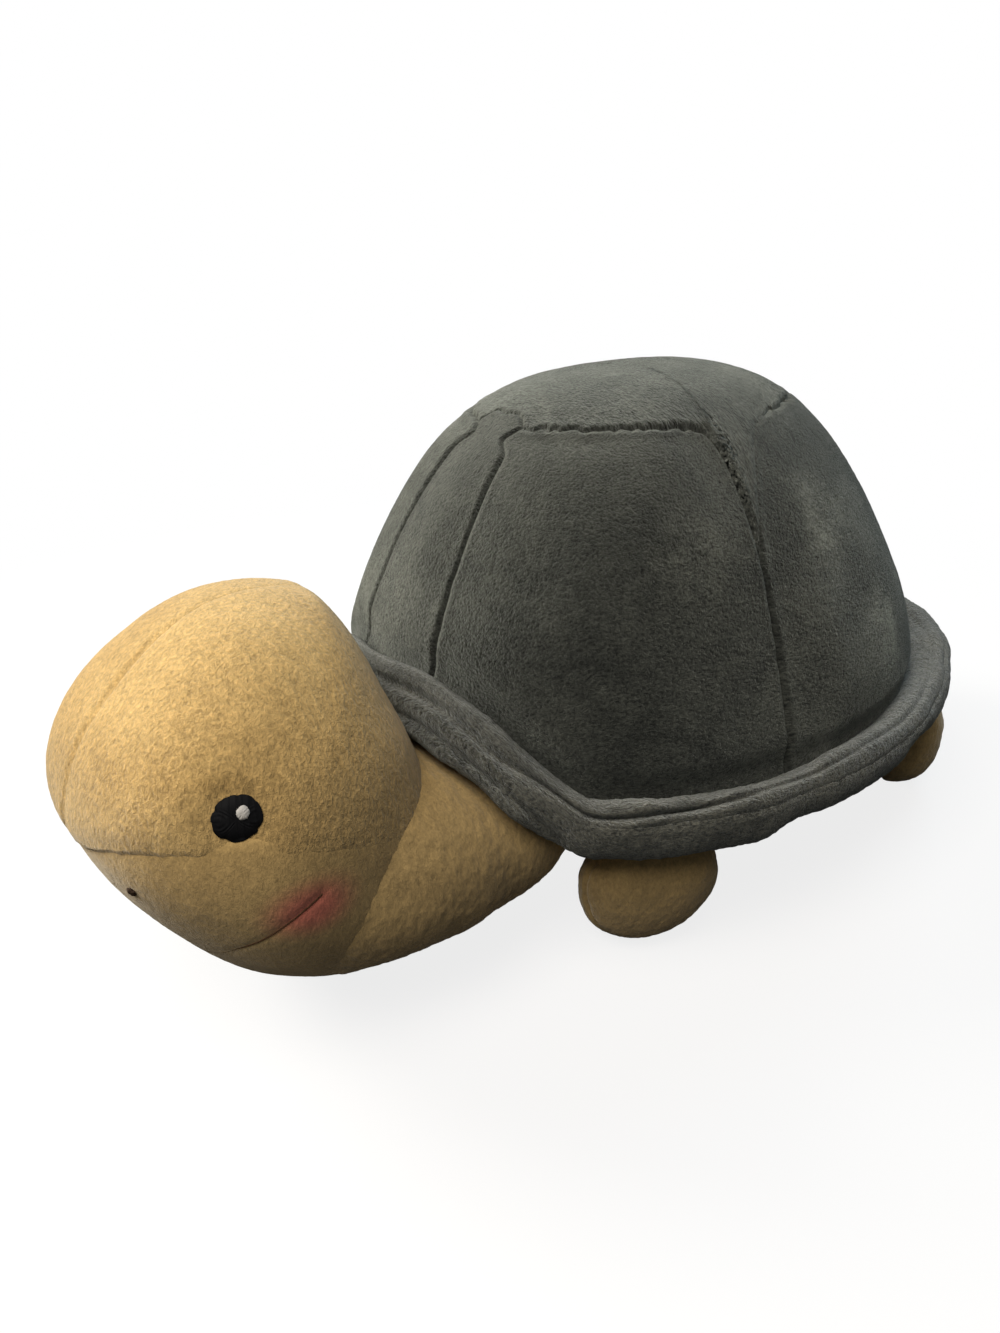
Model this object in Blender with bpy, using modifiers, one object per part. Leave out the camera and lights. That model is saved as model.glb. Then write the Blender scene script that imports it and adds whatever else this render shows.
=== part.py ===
"""Plush turtle: a sewn and stuffed toy standing on four stub legs.

Metres, +Z up. The turtle faces -Y and its left side is +X. Its soles lie at z = 0.
The shell is a superelliptic dome of a crown panel and six side panels, with a padded brim
round its foot that arches over the neck. The head is an egg of two upper panels and a
muzzle panel. Every piece of cloth is a thin shell, and every stuffing is a solid inside it.
"""

from math import asin, atan2, cos, degrees, pi, radians, sin, sqrt

import bmesh
import bpy
from mathutils import Vector
from mathutils.bvhtree import BVHTree

# Cloth and clearances
SEAM_GAP = 0.0004
BRIM_SEAM_GAP = 0.0022
BRIM_EDGE_GAP = 0.0013
FILLING_GAP = 0.0008
BODY_FILLING_GAP = 0.0018
MINKY_THICKNESS = 0.0020
PLUSH_THICKNESS = 0.0020
SEAT_GAP = 0.0003
NECK_TURNING_GAP = 0.0007
SOLE_CUT_DEPTH = 0.0005
SOLE_EDGE_HEIGHT = 0.0008

# Shell dome: the outer face of its panels
SHELL_HALF_WIDTH = 0.100
SHELL_HALF_LENGTH = 0.1223
SHELL_CENTRE_Y = 0.033
SHELL_BASE_Z = 0.0362
SHELL_HEIGHT = 0.1309
SHELL_PLAN_POWER = 3.03
SHELL_RISE_POWER = 1.03

# Seams of the crown panel, as azimuths from the front and shares of the dome's height
CROWN_CORNER_DEGREES = (15, 79, 146, 214, 281, 345)
CROWN_CORNER_HEIGHT_SHARE = 0.868
CROWN_WEDGE_DROP_SHARES = (0.02, 0.20, 0.04, 0.04, 0.20, 0.02)
CROWN_WEDGE_FRONT_DEGREES = 5.0
CROWN_WEDGE_REAR_DEGREES = 2.5
CROWN_WEDGE_POWER = 2

# Brim: a padded roll sewn on along two lines, arching up over the neck
BRIM_Z = 0.0535
BRIM_HALF_HEIGHT = 0.0094
BRIM_REACH = 0.0084
BRIM_REAR_FLARE = 0.0043
BRIM_FRONT_TUCK = 0.0030
BRIM_SIDE_SEAM_DEGREES = 120
BRIM_LOWER_SEAM_SHARE = 0.965
BRIM_REAR_LOWER_SEAM_SHARE = 1.095
BRIM_REAR_POWER = 4
BRIM_ARCH_RISE = 0.0300
BRIM_ARCH_FOOT_DEGREES = 46
BRIM_ARCH_CROWN_DEGREES = 10

# Belly: a shallow dish between the brim's lower seam and its lowest point
BELLY_Z = 0.0215
BELLY_FLAT_SHARE = 0.22

# Bag of plastic beans in a pocket of the stuffing, behind the belly panel
BEAN_BAG_HALF_WIDTH = 0.042
BEAN_BAG_HALF_LENGTH = 0.050
BEAN_BAG_HALF_HEIGHT = 0.011
BEAN_BAG_Y = 0.040

# Neck: an ellipsoid between the body's and the head's hollows, set into the body's front
NECK_SET_IN = 0.0093
NECK_Z = 0.0400
NECK_HALF_WIDTH = 0.0500
NECK_HALF_HEIGHT = 0.0335
NECK_COVER_FRONT = 0.026
NECK_COVER_REAR = 0.034

# Head: an egg from the nose back to the neck
NOSE_REACH = 0.0862
NOSE_Z = 0.0751
HEAD_LENGTH = 0.0860
HEAD_SLOPE = 0.39
CHEEK_HALF_WIDTH = 0.0565
CHEEK_LENGTH = 0.0442
CROWN_RISE = 0.0728
CROWN_LENGTH = 0.0700
CHIN_DROP = 0.0460
CHIN_LENGTH = 0.0520
CHEEK_POWER = 0.85
CROWN_POWER = 1.45
CHIN_POWER = 1.25

# Seam between the upper head and the muzzle
HEAD_SEAM_GAP = 0.0012
MUZZLE_SEAM_Z = 0.0645
MUZZLE_SEAM_RISE = 0.0170
MUZZLE_SEAM_RISE_WIDTH = 0.0450
MUZZLE_SEAM_FALL_SLOPE = 0.38
MUZZLE_SEAM_FALL_BACK = 0.0262

# Embroidered face
EYE_BACK = 0.0277
EYE_Z = 0.0875
EYE_HALF_LENGTH = 0.0064
EYE_HALF_HEIGHT = 0.0058
EYE_PAD_HEIGHT = 0.0011
PAD_RIM_SHARE = 0.3
HIGHLIGHT_RADIUS = 0.0016
HIGHLIGHT_BACK = 0.0018
HIGHLIGHT_UP = 0.0016
HIGHLIGHT_PAD_HEIGHT = 0.0006
NOSTRIL_X = 0.0060
NOSTRIL_Z = 0.0515
NOSTRIL_RADIUS = 0.0014
NOSTRIL_PAD_HEIGHT = 0.0006

# Legs: stub flippers hanging from the brim's lower seam
LEG_AZIMUTH_DEGREES = {"front_left": 55, "rear_left": 141, "rear_right": 219, "front_right": 305}
LEG_SPLAY_DEGREES = {"front_left": 60, "rear_left": 128, "rear_right": 232, "front_right": 300}
LEG_HALF_THICKNESS = 0.0130
LEG_HALF_LENGTH = 0.0225
LEG_SET_IN = 0.0070
LEG_ROOT_GAP = 0.0010
LEG_SEAM_GAP = 0.0018
LEG_SEAT_GAP = 0.0011
LEG_SQUARENESS = 2.3

# Numbers of faces
SHELL_ROWS = 5
PANEL_COLUMNS = 8
BRIM_COLUMNS = 44
BRIM_SIDE_STEPS = 4
BODY_COLUMNS = 36
DISH_ROWS = 7
BRIM_ROWS = 2
DOME_ROWS = 10
HEAD_COLUMNS = 24
HEAD_RINGS = 16
LEG_COLUMNS = 16
LEG_RINGS = 8
PAD_COLUMNS = 14
PAD_RINGS = 6
BAG_COLUMNS = 16
BAG_RINGS = 8
CUTTER_OVERRUN = 0.010

GRID_HALF_SHARE = 0.5
WELD_SHARE = 0.025

BELLY_SEAM_Z = BRIM_Z - BRIM_HALF_HEIGHT
NECK_Y = SHELL_CENTRE_Y - SHELL_HALF_LENGTH + NECK_SET_IN
NOSE_Y = NECK_Y - NOSE_REACH
EYE_Y = NOSE_Y + EYE_BACK
MUZZLE_SEAM_FALL_Y = NOSE_Y + MUZZLE_SEAM_FALL_BACK
NECK_CENTRE = Vector((0, NECK_Y, NECK_Z))
SHELL_AXIS_POINT = Vector((0, SHELL_CENTRE_Y, SHELL_BASE_Z))


# Scene, materials and small helpers

def clear_scene():
    for item in list(bpy.data.objects):
        bpy.data.objects.remove(item, do_unlink=True)


def new_collection(name):
    collection = bpy.data.collections.new(name)
    bpy.context.scene.collection.children.link(collection)
    return collection


def make_material(name, colour, roughness):
    material = bpy.data.materials.new(name)
    material.use_nodes = True
    shader = material.node_tree.nodes["Principled BSDF"]
    shader.inputs["Base Color"].default_value = (*colour, 1)
    shader.inputs["Roughness"].default_value = roughness
    shader.inputs["Metallic"].default_value = 0
    material.diffuse_color = (*colour, 1)
    return material


def add_object(name, bm, material, parent=None):
    """Turn a bmesh into an object of the part, smooth shaded, under its parent."""
    mesh = bpy.data.meshes.new(name)
    bm.to_mesh(mesh)
    bm.free()
    mesh.shade_smooth()
    mesh.set_sharp_from_angle(angle=radians(50))
    item = bpy.data.objects.new(name, mesh)
    PARTS.objects.link(item)
    mesh.materials.append(material)
    if parent is not None:
        item.parent = parent
        item.matrix_parent_inverse = parent.matrix_world.inverted()
    return item


def add_pivot(name, place, parent=None, turn=0):
    """An empty on a joint's axis, turned about Z so that its own X is the axis."""
    pivot = bpy.data.objects.new(name, None)
    pivot.empty_display_size = LEG_HALF_THICKNESS
    PARTS.objects.link(pivot)
    pivot.location = place
    pivot.rotation_euler = (0, 0, turn)
    bpy.context.view_layer.update()
    if parent is not None:
        pivot.parent = parent
        pivot.matrix_parent_inverse = parent.matrix_world.inverted()
        bpy.context.view_layer.update()
    return pivot


def mapped_grid(columns, rows, place, wrap_columns=False, wrap_rows=False):
    """A grid whose corner (u, v), each from 0 to 1, lies at place(u, v)."""
    bm = bmesh.new()
    bmesh.ops.create_grid(bm, x_segments=columns, y_segments=rows, size=GRID_HALF_SHARE)
    for vert in bm.verts:
        vert.co = Vector(place(vert.co.x + GRID_HALF_SHARE, vert.co.y + GRID_HALF_SHARE))
    if wrap_columns or wrap_rows:
        bmesh.ops.remove_doubles(bm, verts=bm.verts, dist=SEAM_GAP * WELD_SHARE)
    return bm


def face_away_from(bm, inner):
    """Point an open surface's normals away from a point, or from a core, on its hollow side."""
    bm.normal_update()
    outward = 0
    for face in bm.faces:
        centre = face.calc_center_median()
        inner_point = inner(centre) if callable(inner) else inner
        outward += (centre - inner_point).dot(face.normal) * face.calc_area()
    if outward < 0:
        bmesh.ops.reverse_faces(bm, faces=bm.faces)
    bm.normal_update()


def close_solid(bm):
    """Point a closed surface's faces outward."""
    bmesh.ops.recalc_face_normals(bm, faces=bm.faces)
    if bm.calc_volume(signed=True) < 0:
        bmesh.ops.reverse_faces(bm, faces=bm.faces)
    return bm


def thicken(item, thickness):
    """Give cloth its thickness, on the inner side of the surface."""
    modifier = item.modifiers.new("cloth", 'SOLIDIFY')
    modifier.thickness = thickness
    modifier.offset = -1
    modifier.use_even_offset = True


def cut(item, cutter):
    modifier = item.modifiers.new("cut_by_" + cutter.name, 'BOOLEAN')
    modifier.operation = 'DIFFERENCE'
    modifier.solver = 'EXACT'
    modifier.object = cutter


def keep_side(bm, point, normal):
    """Keep the part of a surface that lies on the side its normal points to."""
    bmesh.ops.bisect_plane(bm, geom=bm.verts[:] + bm.edges[:] + bm.faces[:],
                           dist=SEAM_GAP * WELD_SHARE ** 2, plane_co=point, plane_no=normal, clear_inner=True)


def grown_along_normals(bm, distance):
    bm.normal_update()
    moves = [vert.normal * distance for vert in bm.verts]
    for vert, move in zip(bm.verts, moves):
        vert.co += move
    return bm


# Shell dome and brim: shared curves

def dome_share(z, inset=0):
    """Radius of the dome at a height, as a share of its half width and half length."""
    height = min(max((z - SHELL_BASE_Z) / (SHELL_HEIGHT - inset), 0), 1)
    return max(1 - height ** SHELL_RISE_POWER, 0) ** (1 / SHELL_PLAN_POWER)


def shell_place(azimuth, share, z, inset=0):
    """A point at an azimuth from the front, at a share of the dome's inset radii."""
    return (
        (SHELL_HALF_WIDTH - inset) * share * sin(azimuth),
        SHELL_CENTRE_Y - (SHELL_HALF_LENGTH - inset) * share * cos(azimuth),
        z,
    )


def dome_place(azimuth, climb, inset=0):
    """A point on the dome: climb runs from 0 at its base to a right angle at its top."""
    share = cos(climb) ** (2 / SHELL_PLAN_POWER)
    height = sin(climb) ** (2 / SHELL_RISE_POWER)
    return shell_place(azimuth, share, SHELL_BASE_Z + (SHELL_HEIGHT - inset) * height, inset)


def climb_at_height(z):
    height = min(max((z - SHELL_BASE_Z) / SHELL_HEIGHT, 0), 1)
    return asin(height ** (SHELL_RISE_POWER / 2))


def front_angle(azimuth):
    """Degrees between an azimuth and the front, from 0 to 180."""
    turned = degrees(azimuth) % 360
    return min(turned, 360 - turned)


def arch_share(azimuth):
    """How far the brim's arch has risen: 1 over the neck, 0 past its feet."""
    run = BRIM_ARCH_FOOT_DEGREES - front_angle(azimuth)
    run /= BRIM_ARCH_FOOT_DEGREES - BRIM_ARCH_CROWN_DEGREES
    return sin(pi / 2 * min(max(run, 0), 1))


def brim_z(azimuth):
    """Height of the brim's middle: level, but arching over the neck at the front."""
    return BRIM_Z + BRIM_ARCH_RISE * arch_share(azimuth)


def rear_share(azimuth):
    """How far the brim has widened towards the rear: 0 at the sides and in front, 1 behind."""
    return sin(pi / 2 * max(-cos(azimuth), 0)) ** BRIM_REAR_POWER


def brim_reach(azimuth):
    """How far the brim stands out of its seams: least over the neck, most round the rear."""
    flare = BRIM_REAR_FLARE * rear_share(azimuth)
    return BRIM_REACH + flare - BRIM_FRONT_TUCK * arch_share(azimuth)


def brim_seam_share(azimuth, climb):
    """Radius share of the cloth behind the brim: climb is 0 at its lower seam, 1 at its upper."""
    upper = dome_share(brim_z(azimuth) + BRIM_HALF_HEIGHT)
    lower = BRIM_LOWER_SEAM_SHARE
    lower += (BRIM_REAR_LOWER_SEAM_SHARE - BRIM_LOWER_SEAM_SHARE) * rear_share(azimuth)
    return upper * (lower + (1 - lower) * climb)


def crown_corner_share():
    return (1 - CROWN_CORNER_HEIGHT_SHARE ** SHELL_RISE_POWER) ** (1 / SHELL_PLAN_POWER)


def crown_seam_climb(azimuth):
    """Climb of the crown panel's seam: straight sides in plan, with a wedge at each corner.

    A wedge is wider on the side that faces the front.
    """
    corners = [radians(corner) for corner in CROWN_CORNER_DEGREES]
    turned = (azimuth - corners[0]) % (2 * pi)
    for index, corner in enumerate(corners):
        following = corners[(index + 1) % len(corners)]
        span = (following - corner) % (2 * pi)
        start = (corner - corners[0]) % (2 * pi)
        if start <= turned <= start + span:
            break
    along = turned - start
    share = crown_corner_share() * cos(span / 2) / cos(along - span / 2)
    height = (1 - share ** SHELL_PLAN_POWER) ** (1 / SHELL_RISE_POWER)
    for near, away in ((index, along), ((index + 1) % len(corners), span - along)):
        faces_front = front_angle(azimuth) < front_angle(corners[near])
        width = CROWN_WEDGE_FRONT_DEGREES if faces_front else CROWN_WEDGE_REAR_DEGREES
        wedge = degrees(away) / width
        height -= CROWN_WEDGE_DROP_SHARES[near] / (1 + wedge ** CROWN_WEDGE_POWER)
    return asin(height ** (SHELL_RISE_POWER / 2))


def panel_azimuth(index, across, margin=0):
    """Azimuth across one side panel, with its columns closer together at the corners."""
    start = radians(CROWN_CORNER_DEGREES[index - 1])
    span = (radians(CROWN_CORNER_DEGREES[index]) - start) % (2 * pi)
    share = (1 - cos(pi * across)) / 2
    return start + margin + (span - 2 * margin) * share


# Shell panels

def make_shell_panels(material):
    names = ("front", "front_left", "rear_left", "rear", "rear_right", "front_right")
    half_gap_turn = SEAM_GAP / 2 / SHELL_HALF_WIDTH
    half_gap_climb = SEAM_GAP / SHELL_HEIGHT
    for index, name in enumerate(names):

        def place(across, up, index=index):
            azimuth = panel_azimuth(index, across, half_gap_turn)
            low = climb_at_height(brim_z(azimuth) + BRIM_HALF_HEIGHT + BRIM_EDGE_GAP)
            high = crown_seam_climb(azimuth) - half_gap_climb
            return dome_place(azimuth, low + (high - low) * up)

        bm = mapped_grid(PANEL_COLUMNS, SHELL_ROWS, place)
        face_away_from(bm, SHELL_AXIS_POINT)
        thicken(add_object("shell_" + name + "_panel", bm, material), MINKY_THICKNESS)

    def crown_place(around, inward):
        azimuth = crown_column_azimuth(around)
        low = crown_seam_climb(azimuth) + half_gap_climb
        return dome_place(azimuth, low + (pi / 2 - low) * inward)

    columns = PANEL_COLUMNS * len(names)
    bm = mapped_grid(columns, SHELL_ROWS - 1, crown_place, wrap_columns=True)
    face_away_from(bm, SHELL_AXIS_POINT)
    thicken(add_object("shell_crown_panel", bm, material), MINKY_THICKNESS)


def crown_column_azimuth(around):
    """Azimuth of a crown column: the same columns as the side panels have."""
    position = around * len(CROWN_CORNER_DEGREES)
    index = min(int(position + SEAM_GAP), len(CROWN_CORNER_DEGREES) - 1)
    return panel_azimuth(index, position - index)


# Brim

def brim_section(azimuth, turn, inset=0):
    """A point of the brim's outer curve: turn runs from its lower seam, 0, to its upper, pi."""
    climb = (1 - cos(turn)) / 2
    z = brim_z(azimuth) - (BRIM_HALF_HEIGHT - inset) * cos(turn)
    x, y, z = shell_place(azimuth, brim_seam_share(azimuth, climb), z)
    reach = (brim_reach(azimuth) - inset) * sin(turn)
    return x + reach * sin(azimuth), y - reach * cos(azimuth), z


def brim_core(point):
    """The point of the brim's middle line on the dome that is beside a point."""
    azimuth = atan2(point.x / SHELL_HALF_WIDTH, (SHELL_CENTRE_Y - point.y) / SHELL_HALF_LENGTH)
    return Vector(shell_place(azimuth, brim_seam_share(azimuth, 0.5), brim_z(azimuth)))


def make_brim(material, wadding_material):
    half_gap_turn = BRIM_SEAM_GAP / 2 / BRIM_HALF_HEIGHT
    end_turn = SEAM_GAP / BRIM_HALF_HEIGHT

    def strip(name, low, high):
        def place(around, across):
            return brim_section(2 * pi * around, low + (high - low) * across)

        bm = mapped_grid(BRIM_COLUMNS, BRIM_SIDE_STEPS, place, wrap_columns=True)
        face_away_from(bm, brim_core)
        thicken(add_object(name, bm, material), MINKY_THICKNESS)

    seam_turn = radians(BRIM_SIDE_SEAM_DEGREES)
    strip("brim_lower_strip", end_turn, seam_turn - half_gap_turn)
    strip("brim_upper_strip", seam_turn + half_gap_turn, pi - end_turn)

    inset = MINKY_THICKNESS + FILLING_GAP
    steps = 2 * BRIM_SIDE_STEPS

    def wadding_place(around, about):
        azimuth = 2 * pi * around
        turn = 2 * pi * about
        if turn <= pi:
            return brim_section(azimuth, turn, inset)
        climb = (1 - cos(turn)) / 2
        z = brim_z(azimuth) - (BRIM_HALF_HEIGHT - inset) * cos(turn)
        return shell_place(azimuth, brim_seam_share(azimuth, climb), z)

    bm = mapped_grid(BRIM_COLUMNS, steps, wadding_place, wrap_columns=True, wrap_rows=True)
    add_object("brim_wadding", close_solid(bm), wadding_material)


# Body: stuffing, bean bag and belly panel

def dish_place(azimuth, row, edge_gap=0):
    """A point of the belly's dish: row 1 ends its flat middle, and the last row is its edge."""
    rim_share = brim_seam_share(azimuth, 0)
    if row <= 1:
        return shell_place(azimuth, rim_share * BELLY_FLAT_SHARE * row, BELLY_Z)
    turn = pi / 2 * (row - 1) / DISH_ROWS
    share = rim_share * sqrt(1 - (1 - BELLY_FLAT_SHARE ** 2) * cos(turn) ** 2)
    rim_z = brim_z(azimuth) - BRIM_HALF_HEIGHT - edge_gap
    return shell_place(azimuth, share, BELLY_Z + (rim_z - BELLY_Z) * (1 - cos(turn)))


def dish_rows():
    """Rows of the belly's dish, with the one of its flat middle."""
    return 1 + DISH_ROWS


def body_rows():
    return dish_rows() + BRIM_ROWS + DOME_ROWS


def body_place(around, up):
    """A point of the body's outer face from the belly's middle, 0, to the dome's top, 1."""
    azimuth = 2 * pi * around
    row = up * body_rows() - dish_rows()
    if row < GRID_HALF_SHARE:
        return dish_place(azimuth, row + dish_rows())
    if row < BRIM_ROWS + GRID_HALF_SHARE:
        climb = row / BRIM_ROWS
        z = brim_z(azimuth) + BRIM_HALF_HEIGHT * (2 * climb - 1)
        return shell_place(azimuth, brim_seam_share(azimuth, climb), z)
    low = climb_at_height(brim_z(azimuth) + BRIM_HALF_HEIGHT)
    return dome_place(azimuth, low + (pi / 2 - low) * (row - BRIM_ROWS) / DOME_ROWS)


def belly_place(around, out):
    """A point of the belly panel from its middle, 0, to its edge under the brim, 1."""
    return dish_place(2 * pi * around, out * dish_rows(), BRIM_EDGE_GAP)


def body_form(growth):
    """The body's outer face, moved along its normals."""
    bm = mapped_grid(BODY_COLUMNS, body_rows(), body_place, wrap_columns=True)
    return grown_along_normals(close_solid(bm), growth)


def make_body(filling_material, belly_material, bean_material, neck_cutter):
    inset = MINKY_THICKNESS + BODY_FILLING_GAP
    filling = add_object("body_filling", body_form(-inset), filling_material)
    cut(filling, neck_cutter)
    bag_z = BELLY_Z + inset + BEAN_BAG_HALF_HEIGHT
    pocket = flattened_ball(BEAN_BAG_HALF_WIDTH + SEAT_GAP, BEAN_BAG_HALF_LENGTH + SEAT_GAP,
                            BEAN_BAG_HALF_HEIGHT + SEAT_GAP, Vector((0, BEAN_BAG_Y, bag_z)))
    for vert in pocket.verts:
        if vert.co.z < bag_z - SEAT_GAP:
            vert.co.z -= CUTTER_OVERRUN
    cut(filling, add_cutter("bean_pocket_cutter", pocket))
    bag = flattened_ball(BEAN_BAG_HALF_WIDTH, BEAN_BAG_HALF_LENGTH, BEAN_BAG_HALF_HEIGHT,
                         Vector((0, BEAN_BAG_Y, bag_z)))
    add_object("bean_bag", close_solid(bag), bean_material)

    bm = mapped_grid(BODY_COLUMNS, dish_rows(), belly_place, wrap_columns=True)
    face_away_from(bm, Vector((0, SHELL_CENTRE_Y, BELLY_SEAM_Z + SHELL_HEIGHT / 2)))
    belly = add_object("belly_panel", bm, belly_material)
    thicken(belly, PLUSH_THICKNESS)
    cut(belly, neck_cutter)


def flattened_ball(half_width, half_length, half_height, centre):
    bm = bmesh.new()
    bmesh.ops.create_uvsphere(bm, u_segments=BAG_COLUMNS, v_segments=BAG_RINGS, radius=1)
    for vert in bm.verts:
        vert.co.x *= half_width
        vert.co.y *= half_length
        vert.co.z *= half_height
        vert.co += centre
    return bm


def add_cutter(name, bm):
    close_solid(bm)
    mesh = bpy.data.meshes.new(name)
    bm.to_mesh(mesh)
    bm.free()
    cutter = bpy.data.objects.new(name, mesh)
    CUTTERS.objects.link(cutter)
    cutter.hide_render = True
    cutter.display_type = 'WIRE'
    return cutter


# Neck

def neck_ball(front, rear, growth=0):
    """The neck's ellipsoid with its own lengths to the front and to the rear."""
    bm = bmesh.new()
    bmesh.ops.create_uvsphere(bm, u_segments=HEAD_COLUMNS, v_segments=HEAD_RINGS, radius=1)
    for vert in bm.verts:
        reach = front if vert.co.y < 0 else rear
        vert.co.x *= NECK_HALF_WIDTH + growth
        vert.co.y *= reach + growth
        vert.co.z *= NECK_HALF_HEIGHT + growth
        vert.co += NECK_CENTRE
    return bm


def make_neck(cover_material, filling_material, parent):
    bm = neck_ball(NECK_HALF_HEIGHT, NECK_HALF_WIDTH)
    keep_side(bm, NECK_CENTRE - Vector((0, NECK_COVER_FRONT, 0)), Vector((0, 1, 0)))
    keep_side(bm, NECK_CENTRE + Vector((0, NECK_COVER_REAR, 0)), Vector((0, -1, 0)))
    face_away_from(bm, NECK_CENTRE)
    thicken(add_object("neck_cover", bm, cover_material, parent), PLUSH_THICKNESS)
    bm = neck_ball(NECK_HALF_HEIGHT, NECK_HALF_WIDTH, -PLUSH_THICKNESS - FILLING_GAP)
    add_object("neck_filling", close_solid(bm), filling_material, parent)


# Head

def head_egg():
    """The head's outer face: a sphere whose poles become the nose and the back."""
    bm = bmesh.new()
    bmesh.ops.create_uvsphere(bm, u_segments=HEAD_COLUMNS, v_segments=HEAD_RINGS, radius=1)
    for vert in bm.verts:
        along = -vert.co.z
        around = atan2(vert.co.y, vert.co.x)
        vert.co = head_place(along, around)
    return close_solid(bm)


def head_place(along, around):
    """A point of the egg: along runs from -1 at the nose to 1 at the back."""
    swell = sqrt(max(1 - along ** 2, 0))
    up = sin(around)
    front_length = CROWN_LENGTH if up > 0 else CHIN_LENGTH
    front_length = CHEEK_LENGTH + (front_length - CHEEK_LENGTH) * up ** 2
    rise = CROWN_RISE * swell ** CROWN_POWER if up > 0 else CHIN_DROP * swell ** CHIN_POWER
    if along < 0:
        back = front_length * (1 + along)
    else:
        back = front_length + (HEAD_LENGTH - front_length) * along
    return Vector((
        CHEEK_HALF_WIDTH * swell ** CHEEK_POWER * cos(around),
        NOSE_Y + back,
        NOSE_Z - HEAD_SLOPE * back + rise * up,
    ))


def muzzle_seam_z(x, y):
    """Height of the seam under the eyes: lowest at the front, highest below the eye."""
    rise = MUZZLE_SEAM_RISE * sin(pi / 2 * min(abs(x) / MUZZLE_SEAM_RISE_WIDTH, 1)) ** 2
    fall = MUZZLE_SEAM_FALL_SLOPE * max(y - MUZZLE_SEAM_FALL_Y, 0)
    return MUZZLE_SEAM_Z + rise - fall


def head_panel(side):
    """The egg above or below the muzzle seam, cut while the seam is laid out level."""
    bm = head_egg()
    for vert in bm.verts:
        vert.co.z -= muzzle_seam_z(vert.co.x, vert.co.y)
    keep_side(bm, Vector((0, 0, side * HEAD_SEAM_GAP / 2)), Vector((0, 0, side)))
    for vert in bm.verts:
        vert.co.z += muzzle_seam_z(vert.co.x, vert.co.y)
    return bm


def make_head(upper_material, muzzle_material, filling_material, parent, neck_cutter):
    middle = Vector((0, NECK_Y, NOSE_Z))
    for name, side in (("left", 1), ("right", -1)):
        bm = head_panel(1)
        keep_side(bm, Vector((side * HEAD_SEAM_GAP / 2, 0, 0)), Vector((side, 0, 0)))
        face_away_from(bm, middle)
        panel = add_object("head_" + name + "_panel", bm, upper_material, parent)
        thicken(panel, PLUSH_THICKNESS)
        cut(panel, neck_cutter)
    bm = head_panel(-1)
    face_away_from(bm, middle)
    panel = add_object("muzzle_panel", bm, muzzle_material, parent)
    thicken(panel, PLUSH_THICKNESS)
    cut(panel, neck_cutter)
    bm = grown_along_normals(head_egg(), -PLUSH_THICKNESS - FILLING_GAP)
    filling = add_object("head_filling", bm, filling_material, parent)
    cut(filling, neck_cutter)


def surface_tree(bm):
    return BVHTree.FromBMesh(bm)


def pad(tree, centre, normal, forward, half_length, half_height, thickness):
    """A raised embroidered oval that follows the cloth under it, a seat's gap above it."""
    normal = normal.normalized()
    along = (forward - normal * forward.dot(normal)).normalized()
    upward = normal.cross(along).normalized()
    bm = bmesh.new()
    bmesh.ops.create_uvsphere(bm, u_segments=PAD_COLUMNS, v_segments=PAD_RINGS, radius=1)
    for vert in bm.verts:
        across = along * vert.co.x * half_length + upward * vert.co.y * half_height
        start = centre + across + normal * half_length
        hit = tree.ray_cast(start, -normal)[0]
        if vert.co.z < -PAD_RIM_SHARE:
            height = SEAT_GAP
        else:
            height = SEAT_GAP + thickness * (PAD_RIM_SHARE + (1 - PAD_RIM_SHARE) * max(vert.co.z, 0))
        vert.co = hit + normal * height
    return close_solid(bm)


def make_face(eye_material, highlight_material, nostril_material, parent):
    egg = head_egg()
    tree = surface_tree(egg)
    egg.free()
    forward = Vector((0, -1, 0))
    for name, side in (("left", 1), ("right", -1)):
        start = Vector((side * 2 * CHEEK_HALF_WIDTH, EYE_Y, EYE_Z))
        centre, normal, _, _ = tree.ray_cast(start, Vector((-side, 0, 0)))
        eye = pad(tree, centre, normal, forward, EYE_HALF_LENGTH, EYE_HALF_HEIGHT, EYE_PAD_HEIGHT)
        eye_tree = surface_tree(eye)
        add_object("eye_" + name, eye, eye_material, parent)
        above = centre - forward * HIGHLIGHT_BACK + Vector((0, 0, HIGHLIGHT_UP)) + normal * EYE_HALF_LENGTH
        spot = eye_tree.ray_cast(above, -normal)[0]
        highlight = pad(eye_tree, spot, normal, forward, HIGHLIGHT_RADIUS, HIGHLIGHT_RADIUS,
                        HIGHLIGHT_PAD_HEIGHT)
        add_object("eye_highlight_" + name, highlight, highlight_material, parent)
        start = Vector((side * NOSTRIL_X, 2 * NOSE_Y, NOSTRIL_Z))
        centre, normal, _, _ = tree.ray_cast(start, Vector((0, 1, 0)))
        nostril = pad(tree, centre, normal, Vector((side, 0, 0)), NOSTRIL_RADIUS, NOSTRIL_RADIUS,
                      NOSTRIL_PAD_HEIGHT)
        add_object("nostril_" + name, nostril, nostril_material, parent)


# Legs

def leg_frame(name):
    """Root on the brim's lower seam, and the directions out of the body and along the seam."""
    azimuth = radians(LEG_AZIMUTH_DEGREES[name])
    splay = radians(LEG_SPLAY_DEGREES[name])
    root = Vector(shell_place(azimuth, brim_seam_share(azimuth, 0), BELLY_SEAM_Z - LEG_ROOT_GAP))
    outward = Vector((sin(splay), -cos(splay), 0))
    along = Vector((cos(splay), sin(splay), 0))
    return root, outward, along


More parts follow.
